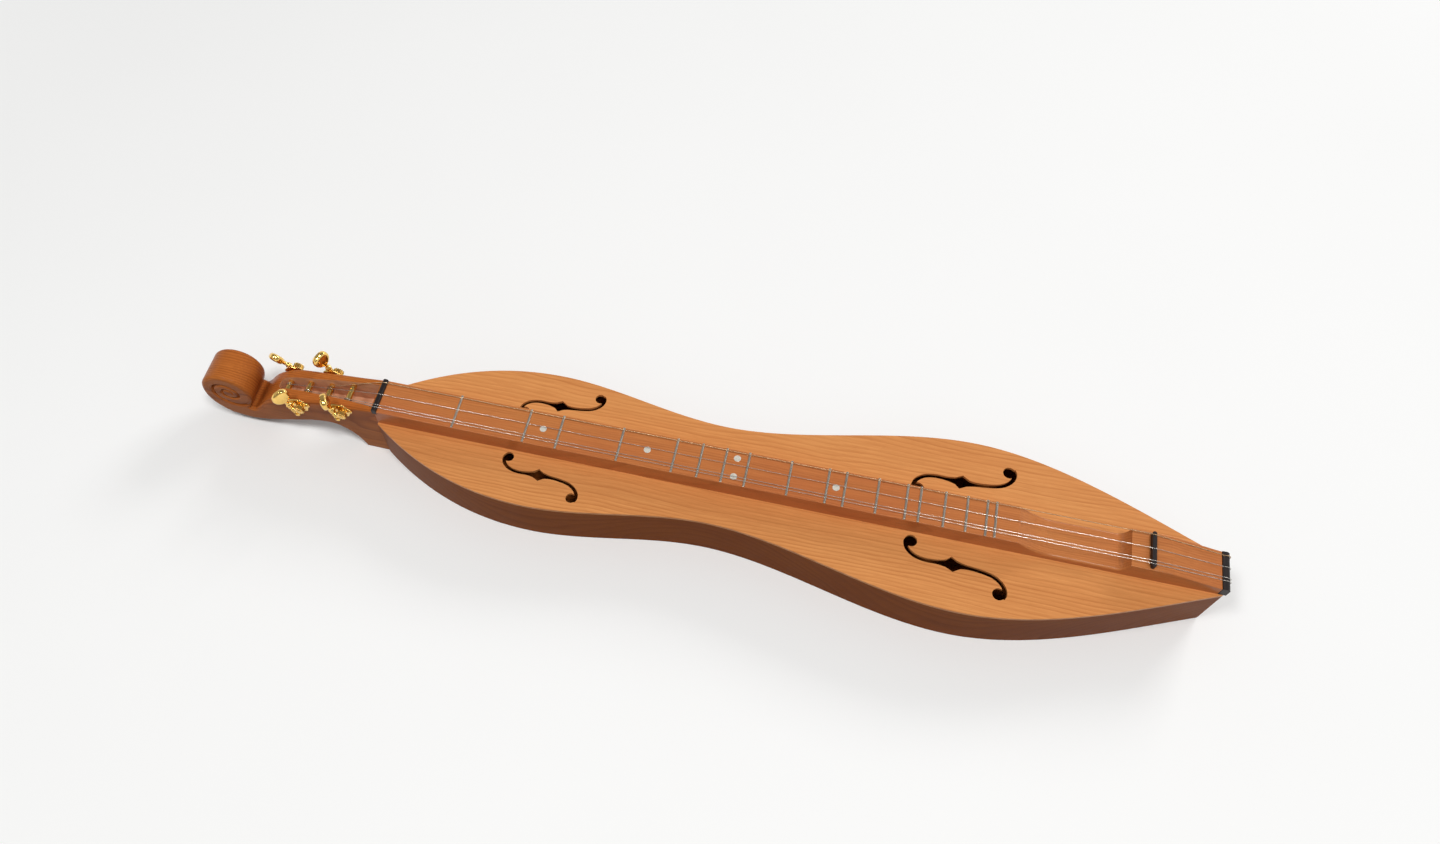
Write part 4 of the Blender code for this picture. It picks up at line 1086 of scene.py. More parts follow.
@dataclass
class Fretboard(SubAssembly):
    """Raised fretboard with a strum hollow, eighteen frets and five pearl dots."""

    semitones: tuple[int, ...] = (2, 4, 5, 7, 9, 10, 11, 12, 14, 16, 17, 19, 21, 22, 24, 26, 28, 29)
    tail_crease: float = BOARD_END - 0.0455
    tail_drop: float = 0.0092
    hollow_end: float = STRING_LENGTH - 0.0175
    hollow_length: float = 0.0975
    hollow_depth: float = 0.0128
    long_ramp: float = 0.034
    short_ramp: float = 0.0080
    short_ramp_power: float = 0.8
    ramp_steps: int = 26
    edge_round: float = 0.0007
    hollow_round: float = 0.0024
    round_gain: float = 1.6
    fret_width: float = 0.0024
    fret_height: float = 0.0013
    fret_slope: float = 0.0007
    fret_root: float = 0.0006
    fret_inset: float = 0.0002
    fret_end: tuple[Point2, ...] = ((0.0, 0.30), (0.4, 0.75), (1.0, 1.0))
    dot_radius: float = 0.0033
    dot_profile: tuple[Point2, ...] = (
        (-0.0014, 0.0), (0.00002, 0.0), (0.00006, 0.0001), (0.00008, 0.0004), (0.00009, 0.00198))
    dot_sides: int = 48
    dot_spread: float = 0.0096
    nut_margin: float = 0.002
    hollow_margin: float = 0.004
    tail_margin: float = 0.003

    def fret_places(self) -> list[float]:
        """Distance of each fret from the nut."""
        return [STRING_LENGTH * (1 - 2 ** (-step / 12)) for step in self.semitones]

    def profile(self) -> list[tuple[float, float, bool]]:
        """Draw the top in side view.

        Returns:
            Distances and heights, each with whether a crease crosses the board there.
        """
        half_nut = NUT_THICKNESS / 2
        start = self.hollow_end - self.hollow_length
        points = [(SEAM, -NUT_SEAT, True), (half_nut, -NUT_SEAT, True), (half_nut, 0.0, True)]
        level = stations(half_nut + self.nut_margin, start - self.hollow_margin, 40)
        points += [(x, 0.0, False) for x in level]
        steps = self.ramp_steps
        for k in range(steps + 1):
            t = k / steps
            height = -self.hollow_depth * math.sin(math.pi / 2 * t)
            points.append((start + self.long_ramp * t, height, k == 0))
        floor = stations(start + self.long_ramp, self.hollow_end - self.short_ramp, 6)[1:-1]
        points += [(x, -self.hollow_depth, False) for x in floor]
        for k in range(steps + 1):
            t = math.sin(math.pi / 2 * k / steps)
            height = -self.hollow_depth * max(0.0, math.cos(math.pi / 2 * t)) ** self.short_ramp_power
            points.append((self.hollow_end - self.short_ramp * (1 - t), height, k == steps))
        level = stations(self.hollow_end + self.tail_margin, self.tail_crease - self.tail_margin, 4)
        points += [(x, 0.0, False) for x in level]
        points += [(self.tail_crease, 0.0, True), (BOARD_END, -self.tail_drop, True)]
        return points

    def build_board(self) -> bpy.types.Object:
        """Skin the board over cross-sections whose top corners are rounder in the hollow.

        Returns:
            The board.
        """
        bottom = -BOARD_HEIGHT
        start = self.hollow_end - self.hollow_length
        rings = []
        creases = []
        for number, (x, top, crease) in enumerate(self.profile()):
            in_hollow = start <= x <= self.hollow_end
            depth = ease(-top / self.hollow_depth * self.round_gain) if in_hollow else 0.0
            radius = self.edge_round + (self.hollow_round - self.edge_round) * depth
            left = arc((-HALF_BOARD + radius, top - radius), radius, 180, 90, 6)
            right = arc((HALF_BOARD - radius, top - radius), radius, 90, 0, 6)
            section = [(-HALF_BOARD, bottom)] + left + right + [(HALF_BOARD, bottom)]
            rings.append([(x, y, z) for y, z in section])
            if crease:
                creases.append(number)
        return skin("fretboard_finished", rings, creases)

    def build_fret(self, name: str) -> bpy.types.Object:
        """Make one fret: a domed wire across the board, its ends filed to a slope.

        Args:
            name: The fret's name.

        Returns:
            The fret, its middle at the origin.
        """
        reach = HALF_BOARD - self.fret_inset
        half = self.fret_width / 2
        crown = arc((0.0, 0.0), 1.0, 0, 180, 14)
        ends = [(reach - share * self.fret_slope, height) for share, height in self.fret_end]
        rings = []
        for y, share in [(-y, share) for y, share in ends] + ends[::-1]:
            ring = [(half * a, y, self.fret_height * share * b) for a, b in crown]
            rings.append(ring + [(-half, y, -self.fret_root), (half, y, -self.fret_root)])
        fret = skin(name, rings)
        shade(fret, angle=40)
        return fret

    def build(self) -> None:
        """Make the board, its frets and its dots."""
        board = self.build_board()
        shade(board, angle=50)
        self.install(board, "board", "cherry_board", ["fretboard"])
        frets = self.fret_places()
        for number, x in enumerate(frets, start=1):
            fret = self.build_fret(f"fret_wire_{number:02d}")
            self.install(fret, "nickel", "fret_nickel", [f"fret_{number:02d}"],
                         matrix=Matrix.Translation((x, 0, 0)))
        middles = [(a + b) / 2 for a, b in zip(frets, frets[1:])]
        places = ((middles[1], 0.0), (middles[3], 0.0), (middles[6], self.dot_spread),
                  (middles[6], -self.dot_spread), (middles[9], 0.0))
        profile = [(height, self.dot_radius - inset) for height, inset in self.dot_profile]
        for number, (x, y) in enumerate(places, start=1):
            dot = lathe(f"pearl_dot_{number}", profile, self.dot_sides)
            shade(dot, angle=40)
            self.install(dot, "pearl", "dot_pearl", [f"dot_{number}"],
                         matrix=Matrix.Translation((x, y, 0)))


@dataclass
class Fittings(SubAssembly):
    """Ebony nut, bridge and end piece, and the four pins in the tail."""

    edge_round: float = 0.0003
    pin_round: float = 0.00015

    def build(self) -> None:
        """Refine the fittings' own shapes."""
        for node in ("nut", "bridge", "end_piece"):
            self.install(self.refine(node, self.edge_round), "ebony", "ebony", [node])
        for string in STRING_ROUTES:
            node = f"pin_{string.name}"
            pin = self.refine(node, self.pin_round, segments=2, angle=50)
            self.install(pin, "gold", "gold_plate", [node])


@dataclass
class Peghead(SubAssembly):
    """Heel, pegbox and scroll, carved from one block of cherry."""

    eye: Point2 = (-0.158, -0.021)
    scroll: tuple[Point2, ...] = (
        (-66, 0.0284), (-50, 0.0246), (-34, 0.0222), (-10, 0.0211), (20, 0.0213), (60, 0.0234), (100, 0.0251),
        (135, 0.0271), (165, 0.0302), (195, 0.0345), (225, 0.0410), (255, 0.0463))
    underside: tuple[Point3, ...] = (
        (-0.1500, -0.0692, 0.0036), (-0.1300, -0.0657, 0.0036), (-0.1120, -0.0596, 0.0036),
        (-0.0940, -0.0532, 0.0036), (-0.0780, -0.0476, 0.0036), (-0.0630, -0.0443, 0.0036),
        (-0.0520, -0.0440, 0.0034), (-0.0425, -0.0488, 0.0030), (-0.0340, -0.0575, 0.0026),
        (-0.0280, -0.0694, 0.0020), (-0.0250, BACK_Z, 0.0010))
    top: tuple[Point3, ...] = (
        (-0.1462, -0.0470, 0.0030), (-0.1433, -0.0488, 0.0030), (-0.1396, -0.0470, 0.0032),
        (-0.1335, -0.0400, 0.0040), (-0.1260, -0.0302, 0.0050), (-0.1190, -0.0224, 0.0060),
        (-0.1110, -0.0164, 0.0060), (-0.1020, -0.0117, 0.0054), (-0.0900, -0.0086, 0.0048),
        (-0.0700, -0.0062, 0.0046), (-0.0500, -0.0036, 0.0044), (-0.0250, -0.0016, 0.0036),
        (-0.0028, -0.0006, 0.0008))
    scroll_round: float = 0.0036
    hair: float = 0.00003
    face_round: float = 0.0003
    curve_steps: int = 7
    top_steps: int = 6
    rim_steps: int = 7
    least_turn: float = 0.4
    longest_step: float = 1.6
    spiral_centre: Point2 = (-0.1615, -0.0240)
    spiral_start: float = 0.0232
    spiral_end: float = 0.0052
    spiral_start_angle: float = -42.0
    spiral_turned: float = 700.0
    spiral_power: float = 1.8
    spiral_steps: int = 260
    spiral_depth: float = 0.0031
    spiral_depth_loss: float = 0.30
    spiral_fade: float = 0.10
    spiral_outer_side: float = 0.0019
    spiral_inner_side: float = 0.0042
    spiral_side_loss: float = 0.45
    valley_power: float = 0.9
    line_margin: float = 0.0004
    line_break: float = 0.003
    carved_reach: float = 0.0290
    carved_grid: float = 0.00062
    grid_row: float = 0.87
    grid_margin: float = 0.0005
    grid_clear: float = 0.6
    grid_merge: float = 1e-7
    pocket_walls: tuple[Point2, ...] = (
        (-0.1040, 0.0064), (-0.0790, 0.0076), (-0.0560, 0.0091), (-0.0330, 0.0106), (-0.0045, 0.0126))
    pocket_floor: float = -0.031
    pocket_top: float = -0.002
    pocket_cut_top: float = 0.03
    pocket_margin: float = 0.0001
    top_slope: float = 0.25
    top_low: float = -0.028
    mouth_round: float = 0.0006
    mouth_angle: float = 45.0
    mouth_margin: float = 0.00012
    mouth_round_end: float = -0.1038
    mouth_low: float = -0.021
    mouth_half: float = 0.0132
    mouth_reach: Point2 = (-0.112, -0.0052)

    def outline(self) -> list[Point3]:
        """Draw the block in side view.

        Returns:
            X, Z and the radius that rounds each place towards the cheeks.
        """
        rims = ((self.scroll[0][0], self.top[0][2]), (self.scroll[2][0], self.scroll_round))
        path: list[Point3] = []
        for angle, radius in through(self.scroll, self.curve_steps):
            turn = math.radians(angle)
            radius -= self.hair
            path.append((self.eye[0] + radius * math.cos(turn), self.eye[1] + radius * math.sin(turn),
                         between(rims, angle)))
        path += through(self.underside, self.curve_steps)
        seat = -NUT_THICKNESS / 2
        path += [(-SEAM, BACK_Z, self.face_round), (-SEAM, -NUT_SEAT, self.face_round)]
        top = through(self.top, self.top_steps)
        path += [(seat, -NUT_SEAT, self.face_round), (seat, top[-1][1], self.face_round)]
        return path + top[-2:0:-1]

    def inward_steps(self, outline: Sequence[Point2]) -> list[Vector]:
        """Find the step inwards that moves both edges at a point by one unit.

        Args:
            outline: A closed outline.

        Returns:
            The step at each of its points.
        """
        steps = []
        count = len(outline)
        for i in range(count):
            here = Vector(outline[i])
            before = (here - Vector(outline[i - 1])).normalized()
            after = (Vector(outline[(i + 1) % count]) - here).normalized()
            normal_a = Vector((-before.y, before.x))
            normal_b = Vector((-after.y, after.x))
            step = (normal_a + normal_b) / max(1 + normal_a.dot(normal_b), self.least_turn)
            if step.length > self.longest_step:
                step = step.normalized() * self.longest_step
            steps.append(step)
        return steps

    def spiral_radius(self, share: float) -> float:
        """The carved line's distance from its centre, from the throat (0) in to the eye (1)."""
        return self.spiral_end + (self.spiral_start - self.spiral_end) * (1 - share) ** self.spiral_power

    def spiral_line(self) -> list[Point2]:
        """Draw the carved line.

        Returns:
            Its points in X and Z, from the throat in to the eye.
        """
        points = []
        for k in range(self.spiral_steps + 1):
            share = k / self.spiral_steps
            radius = self.spiral_radius(share)
            turn = math.radians(self.spiral_start_angle - self.spiral_turned * share)
            points.append((self.spiral_centre[0] + radius * math.cos(turn),
                           self.spiral_centre[1] + radius * math.sin(turn)))
        return points

    def carved_depth(self, x: float, z: float) -> float:
        """Find how deep a cheek is cut: a valley along the spiral with rounded ridges on both sides.

        Args:
            x: The place along the head.
            z: The place's height.

        Returns:
            The depth there.
        """
        dx = x - self.spiral_centre[0]
        dz = z - self.spiral_centre[1]
        reach = math.hypot(dx, dz)
        if reach > self.carved_reach:
            return 0.0
        angle = math.degrees(math.atan2(dz, dx))
        deepest = 0.0
        share = ((self.spiral_start_angle - angle) % 360) / self.spiral_turned
        while share <= 1.0:
            offset = reach - self.spiral_radius(share)
            inner_side = self.spiral_inner_side * (1 - self.spiral_side_loss * share)
            wide = self.spiral_outer_side if offset > 0 else inner_side
            away = min(abs(offset) / wide, 1.0)
            fade = ease((1 - share) / self.spiral_fade)
            full = self.spiral_depth * (1 - self.spiral_depth_loss * share) * fade
            deepest = max(deepest, full * (1 - math.sin(math.pi / 2 * away)) ** self.valley_power)
            share += 360 / self.spiral_turned
        return deepest

    def face_grid(self, loop: Sequence[Point2]) -> tuple[list[Point2], list[tuple[int, ...]]]:
        """Fill a cheek's loop with triangles, fine where the scroll is carved.

        Args:
            loop: The flat part's boundary in X and Z.

        Returns:
            The points, the loop's own first, and the triangles over them.
        """
        spiral = [Vector(p) for p in self.inside_only(self.spiral_line(), loop, self.line_margin)]
        count = len(loop)
        edges = [(count + i, count + i + 1) for i in range(len(spiral) - 1)
                 if (spiral[i] - spiral[i + 1]).length < self.line_break]
        rows = int(self.carved_reach / self.carved_grid)
        grid = []
        for i in range(-rows, rows + 1):
            for k in range(-rows, rows + 1):
                x = self.spiral_centre[0] + (i + 0.5 * (k % 2)) * self.carved_grid
                z = self.spiral_centre[1] + k * self.carved_grid * self.grid_row
                if math.hypot(x - self.spiral_centre[0], z - self.spiral_centre[1]) < self.carved_reach:
                    grid.append((x, z))
        grid = [Vector(p) for p in self.inside_only(grid, loop, self.grid_margin)]
        clear = (self.grid_clear * self.carved_grid) ** 2
        grid = [p for p in grid if min((p - q).length_squared for q in spiral) > clear]
        points = [Vector(p) for p in loop] + spiral + grid
        verts, _, faces, origins, _, _ = delaunay_2d_cdt(points, edges, [list(range(count))], 1,
                                                         self.grid_merge)
        order = [origin[0] if origin else -1 for origin in origins]
        own = {source: k for k, source in enumerate(order) if source >= 0}
        remap = {}
        out: list[Point2] = list(loop)
        for k, vert in enumerate(verts):
            if 0 <= order[k] < count and own.get(order[k]) == k:
                remap[k] = order[k]
            else:
                remap[k] = len(out)
                out.append((vert.x, vert.y))
        return out, [tuple(remap[v] for v in face) for face in faces]

    @staticmethod
    def inside_only(points: Sequence[Point2], loop: Sequence[Point2], margin: float) -> list[Point2]:
        """Keep the points that lie inside a loop.

        Args:
            points: The points.
            loop: The loop.
            margin: How far they stay from its corners.

        Returns:
            The points that are kept.
        """
        kept = []
        count = len(loop)
        for x, z in points:
            inside = False
            near = False
            for i in range(count):
                ax, az = loop[i]
                bx, bz = loop[(i + 1) % count]
                if (az > z) != (bz > z) and x < ax + (bx - ax) * (z - az) / (bz - az):
                    inside = not inside
                if (x - ax) ** 2 + (z - az) ** 2 < margin ** 2:
                    near = True
            if inside and not near:
                kept.append((x, z))
        return kept

    def block(self) -> bpy.types.Object:
        """Make the block with rounded rims and the spiral carved into both cheeks.

        Returns:
            The block.
        """
        path = self.outline()
        steps = self.inward_steps([(x, z) for x, z, _ in path])
        turns = [math.pi / 2 * k / self.rim_steps for k in range(self.rim_steps + 1)]
        bm = bmesh.new()
        loops = []
        for side, order in ((-1, turns), (1, turns[::-1])):
            for turn in order:
                loop = []
                for (x, z, radius), step in zip(path, steps):
                    inset = radius * (1 - math.sin(turn))
                    px = x + step.x * inset
                    pz = z + step.y * inset
                    carved = self.carved_depth(px, pz) * math.cos(turn)
                    level = HALF_BOARD - radius * (1 - math.cos(turn)) - carved
                    loop.append(bm.verts.new((px, side * level, pz)))
                loops.append(loop)
        count = len(path)
        for low, high in zip(loops, loops[1:]):
            for k in range(count):
                n = (k + 1) % count
                bm.faces.new((low[k], low[n], high[n], high[k]))
        points, faces = self.face_grid([(vert.co.x, vert.co.z) for vert in loops[0]])
        for side, loop in ((-1, loops[0]), (1, loops[-1])):
            verts = list(loop)
            for x, z in points[count:]:
                verts.append(bm.verts.new((x, side * (HALF_BOARD - self.carved_depth(x, z)), z)))
            for face in faces:
                corners = [verts[k] for k in face]
                if bm.faces.get(corners) is None:
                    bm.faces.new(corners)
        return finish_mesh("peghead_finished", bm)

    def pocket(self) -> bpy.types.Object:
        """Make the pegbox as a cutter: tapering walls with a round end.

        Returns:
            The cutter.
        """
        end_x, end_radius = self.pocket_walls[0]
        wall = list(self.pocket_walls[::-1]) + arc((end_x, 0.0), end_radius, 90, 180, 14)[1:]
        outline = wall + [(x, -y) for x, y in reversed(wall[:-1])]
        return prism("pegbox_pocket", outline, self.pocket_floor, self.pocket_cut_top)

    def build(self) -> None:
        """Carve the head."""
        head = self.block()
        carve(head, [self.pocket()])
        self.round_mouth(head)
        shade(head, angle=42)
        self.install(head, "head", "cherry_head", ["peghead"])
        self.paint_light_in_pocket(head)

    def paint_light_in_pocket(self, head: bpy.types.Object) -> None:
        """Paint light into the pegbox: its inner faces get a paler cherry than the rest of the head.

        Args:
            head: The head, dressed and in its place.
        """
        # A paler cherry: painted light on the pocket's inner faces.
        head.data.materials.append(self.rack.get("pegbox"))
        margin = self.pocket_margin
        start = self.pocket_walls[0][0] - self.pocket_walls[0][1] - margin
        end = self.pocket_walls[-1][0] + margin
        for face in head.data.polygons:
            x, y, z = face.center
            between_walls = start < x < end and abs(y) < between(self.pocket_walls, x) + margin
            below = self.pocket_floor - margin < z < self.pocket_top
            on_top = face.normal.z > self.top_slope and z > self.top_low
            if between_walls and below and not on_top:
                face.material_index = 1

    def on_mouth(self, place: Vector) -> bool:
        """Find whether a place is on the pegbox's upper inner edge.

        Args:
            place: The place.

        Returns:
            Whether it is.
        """
        on_wall = abs(abs(place.y) - between(self.pocket_walls, place.x)) < self.mouth_margin
        on_wall = on_wall or place.x < self.mouth_round_end
        start, end = self.mouth_reach
        inside = start < place.x < end and abs(place.y) < self.mouth_half
        return on_wall and inside and place.z > self.mouth_low

    def round_mouth(self, head: bpy.types.Object) -> None:
        """Ease the pegbox's upper inner edge, as a file would.

        Args:
            head: The carved head.
        """
        bm = bmesh.new()
        bm.from_mesh(head.data)
        sharp = math.radians(self.mouth_angle)
        rim = [edge for edge in bm.edges
               if len(edge.link_faces) == 2 and edge.calc_face_angle(0.0) >= sharp
               and all(self.on_mouth(vert.co) for vert in edge.verts)]
        bmesh.ops.bevel(bm, geom=rim, offset=self.mouth_round, segments=3, profile=0.5, affect="EDGES",
                        clamp_overlap=True)
        bm.to_mesh(head.data)
        bm.free()


@dataclass
class Tuner(SubAssembly):
    """One tuner: a plate with two bearings, a worm with its button, and a gear on its post."""

    name: str = ""
    button_turn: float = 0.0
    side: int = field(init=False)
    up: int = field(init=False)
    post_x: float = field(init=False)
    mount: Matrix = field(init=False)
    rounding: float = 0.0003
    plate_metal: float = 0.0012
    plate_reach: float = 0.0092
    plate_end: float = 0.0106
    plate_corner: float = 0.0012
    plate_shoulder: Point2 = (-0.0030, -0.0018)
    lug: Point2 = (-0.0062, 0.0)
    lug_radius: float = 0.0034
    lug_steps: int = 24
    lug_screw: Point2 = (0.0021, 0.0011)
    lug_screw_x: float = -0.0064
    lug_screw_sunk: float = 0.0001
    screw_dome: tuple[Point2, ...] = ((0.45, 1.0), (0.20, 0.90), (0.06, 0.68), (0.0, 0.35))
    screw_sides: int = 36
    slot_depth: float = 0.0006
    slot_share: float = 0.55
    slot_half: float = 0.00022
    slot_reach: float = 1.2
    slot_open: float = 0.001
    slot_turn: float = 28.0
    slot_turn_by_side: float = 40.0
    ear_radius: float = 0.0029
    ear_foot: float = 0.0004
    ear_steps: int = 20
    ear_gap: float = 0.0010
    ear_metal: float = 0.0018
    worm_height: float = 0.0058
    mesh_distance: float = 0.00725
    journal: float = 0.0015
    journal_reach: float = 0.0004
    bearing_span: float = 0.0028
    worm_half: float = 0.0046
    worm_pitch: float = 0.00224
    worm_core: float = 0.0016
    worm_crest: float = 0.0026
    crest_power: float = 1.6
    thread_fade: float = 0.0006
    thread_gap: float = 0.0002
    thread_steps: int = 84
    gear_teeth: int = 14
    gear_root: float = 0.0043
    gear_tip: float = 0.0053
    gear_thickness: float = 0.0042
    gear_rounding: float = 0.00012
    gear_screw: Point2 = (0.0026, 0.0012)
    gear_screw_sunk: float = 0.0003
    root_relief: float = 0.00012
    flank_half: float = 0.00052
    flank_swell: float = 0.006
    tip_half: float = 0.00030
    post_radius: float = 0.0030
    post_seat: float = 0.0030
    post_chamfer: float = 0.0004
    post_sides: int = 48
    hole_radius: float = 0.0006
    hole_reach: float = 0.006
    hole_shift: float = 0.0012
    hole_sides: int = 16
    cap: tuple[Point2, ...] = ((0.0020, 0.0008), (0.0019, 0.0016), (0.0015, 0.0022), (0.0006, 0.0022))
    collar: tuple[Point2, ...] = (
        (0.0005, 0.0026), (0.0007, 0.0030), (0.0013, 0.0031), (0.0019, 0.0029), (0.0024, 0.0023),
        (0.0032, 0.0019), (0.0045, 0.0019), (0.0060, 0.0021))
    stem_foot: float = 0.0028
    stem: float = 0.0040
    button: tuple[Point3, ...] = (
        (0.0000, 0.0024, 0.0022), (0.0013, 0.0045, 0.0033), (0.0034, 0.0069, 0.0039),
        (0.0060, 0.0084, 0.0041), (0.0090, 0.0087, 0.0041), (0.0118, 0.0079, 0.0039),
        (0.0138, 0.0060, 0.0033), (0.0149, 0.0032, 0.0020))
    button_steps: int = 4
    button_dish: float = 0.16
    dish_power: float = 1.5
    squareness: float = 0.28
    square_steps: int = 6
    sides: int = 56

    def __post_init__(self) -> None:
        """Read the tuner's place from its two joints: the post's axis and the worm's."""
        joints = {joint["name"]: joint for joint in frame["joints"]}
        post = Vector(joints[f"post_spin_{self.name}"]["pos_m"]) - ORIGIN
        worm = joints[f"knob_spin_{self.name}"]
        self.side = 1 if self.name.startswith("far") else -1
        place = Vector(worm["pos_m"]) - ORIGIN
        to_worm = Vector((place.x - post.x, 0.0, place.z - post.z)).normalized()
        outwards = Vector((0.0, self.side, 0.0))
        across = outwards.cross(to_worm)
        turn = Matrix((to_worm, across, outwards)).transposed().to_4x4()
        self.mount = Matrix.Translation((post.x, self.side * HALF_BOARD, post.z)) @ turn
        self.up = 1 if across.dot(Vector(worm["axis"])) > 0 else -1
        self.post_x = post.x

    def ear(self, name: str, start: float, end: float) -> bpy.types.Object:
        """Make a bearing that stands on the plate and holds one end of the worm.

        Args:
            name: The piece's name.
            start: Its inner face along the worm.
            end: Its outer face.

        Returns:
            The bearing.
        """
        outline = [(self.mesh_distance + self.ear_radius, self.ear_foot)]
        outline += arc((self.mesh_distance, self.worm_height), self.ear_radius, 0, 180, self.ear_steps)
        outline.append((self.mesh_distance - self.ear_radius, self.ear_foot))
        return prism(name, outline, min(start, end), max(start, end), Plane.UPRIGHT)

    def screw(self, name: str, radius: float, height: float) -> bpy.types.Object:
        """Make a domed screw head with a slot.

        Args:
            name: The piece's name.
            radius: The head's radius.
            height: Its height.

        Returns:
            The screw head, standing on its own origin.
        """
        dome = [(0.0, radius)]
        dome += [(height - share * height, radius * width) for share, width in self.screw_dome]
        head = lathe(name, dome, self.screw_sides)
        reach = radius * self.slot_reach
        half = self.slot_half
        depth = min(self.slot_depth, self.slot_share * height)
        slot = prism(name + "_slot", ((-reach, -half), (reach, -half), (reach, half), (-reach, half)),
                     height - depth, height + self.slot_open)
        turn = math.radians(self.slot_turn + self.slot_turn_by_side * self.side)
        carve(head, [move(slot, Matrix.Rotation(turn, 4, "Z"))])
        return head

    def build_plate(self) -> None:
        """Make the base plate with its lug, bearings and screw."""
        corner = self.plate_corner
        edge = -self.plate_reach
        outline = arc(self.lug, self.lug_radius, 90, 270, self.lug_steps)
        outline += [(self.plate_shoulder[0], edge + corner), (self.plate_shoulder[1], edge)]
        outline += arc((self.plate_end - corner, edge + corner), corner, -90, 0, 5)
        outline += [(x, -y) for x, y in reversed(outline[self.lug_steps + 1:])]
        top = GAP + self.plate_metal
        plate = prism(f"plate_{self.name}", outline, 0.0, top)
        soften(plate, self.rounding, angle=50)
        ear_near = self.worm_half + self.ear_gap
        ear_far = ear_near + self.ear_metal
        ears = []
        for number, sign in enumerate((-1, 1)):
            ear = self.ear(f"ear_{self.name}_{number}", sign * ear_near, sign * ear_far)
            soften(ear, self.rounding, angle=50)
            ears.append(ear)
        screw = move(self.screw(f"lug_screw_{self.name}", *self.lug_screw),
                     Matrix.Translation((self.lug_screw_x, 0.0, top - self.lug_screw_sunk)))
        carve(plate, ears + [screw], "UNION")
        shade(plate, angle=32)
        self.install(plate, "gold", "gold_plate", [f"tuner_plate_{self.name}"], matrix=self.mount)

    def gear_outline(self) -> list[Point2]:
        """Draw teeth with straight flanks, rounded roots and a gap that points to the worm.

        Returns:
            The gear's closed outline.
        """
        pitch = 2 * math.pi / self.gear_teeth
        flank = self.flank_half / self.gear_root
        tip = self.tip_half / self.gear_tip
        half_way = (self.gear_root + self.gear_tip) / 2
        swell = (flank + tip) / 2 + self.flank_swell
        tooth = ((self.gear_root - self.root_relief, -pitch / 2), (self.gear_root, -flank),
                 (half_way, -swell), (self.gear_tip, -tip), (self.gear_tip, tip), (half_way, swell),
                 (self.gear_root, flank))
        points = []
        for number in range(self.gear_teeth):
            middle = pitch * (number + 0.5)
            for radius, offset in tooth:
                turn = middle + offset
                points.append((radius * math.cos(turn), radius * math.sin(turn)))
        return points

    def build_gear(self) -> None:
        """Make the gear, its screw, and the post that crosses the pegbox."""
        half = self.gear_thickness / 2
        face = self.worm_height + half
        gear = prism(f"gear_{self.name}", self.gear_outline(), self.worm_height - half, face)
        soften(gear, self.gear_rounding, angle=50)
        screw = move(self.screw(f"gear_screw_{self.name}", *self.gear_screw),
                     Matrix.Translation((0, 0, face - self.gear_screw_sunk)))
        carve(gear, [self.post(), screw], "UNION")
        shade(gear, angle=32)
        self.install(gear, "gold", "gold_plate", [f"tuner_gear_{self.name}"], f"post_{self.name}", self.mount)

    def post(self) -> bpy.types.Object:
        """Make the post with the hole that takes its string.

        Returns:
            The post, which reaches from the gear into its seat in the far wall.
        """
        length = HALF_BOARD + between(Peghead.pocket_walls, self.post_x) + self.post_seat
        chamfer = self.post_chamfer
        profile = ((-length, self.post_radius - chamfer), (-length + chamfer, self.post_radius),
                   (self.worm_height - chamfer, self.post_radius))
        post = lathe(f"post_{self.name}", profile, self.post_sides)
        bore = ((-self.hole_reach, self.hole_radius), (self.hole_reach, self.hole_radius))
        hole = lathe(f"string_hole_{self.name}", bore, self.hole_sides)
        lane = next(route for route in STRING_ROUTES if route.tuner == self.name).lane
        depth = -HALF_BOARD + self.side * lane - self.hole_shift
        move(hole, Matrix.Translation((0, 0, depth)) @ Matrix.Rotation(math.radians(90), 4, "Y"))
        carve(post, [hole])
        return post

    def thread(self, height: float, angle: float) -> float:
        """Find the worm's radius; its crest meets the gear's gap on the side that faces the post.

        Args:
            height: The place along the worm, from its middle.
            angle: The direction about its axis.

        Returns:
            The radius there.
        """
        phase = height / self.worm_pitch - (angle - math.pi) / (2 * math.pi)
        crest = (0.5 + 0.5 * math.cos(2 * math.pi * phase)) ** self.crest_power
        fade = min(1.0, max(0.0, (self.worm_half - abs(height)) / self.thread_fade))
        return self.worm_core + (self.worm_crest - self.worm_core) * crest * fade

    def thread_rings(self) -> list[Ring]:
        """Wind the worm's thread.

        Returns:
            Its rings from one end to the other.
        """
        turns = [2 * math.pi * n / self.sides for n in range(self.sides)]
        rings = []
        for k in range(self.thread_steps + 1):
            height = -self.worm_half + 2 * self.worm_half * k / self.thread_steps
            ring = []
            for turn in turns:
                radius = self.thread(height, turn)
                ring.append((radius * math.cos(turn), radius * math.sin(turn), height))
            rings.append(ring)
        return rings

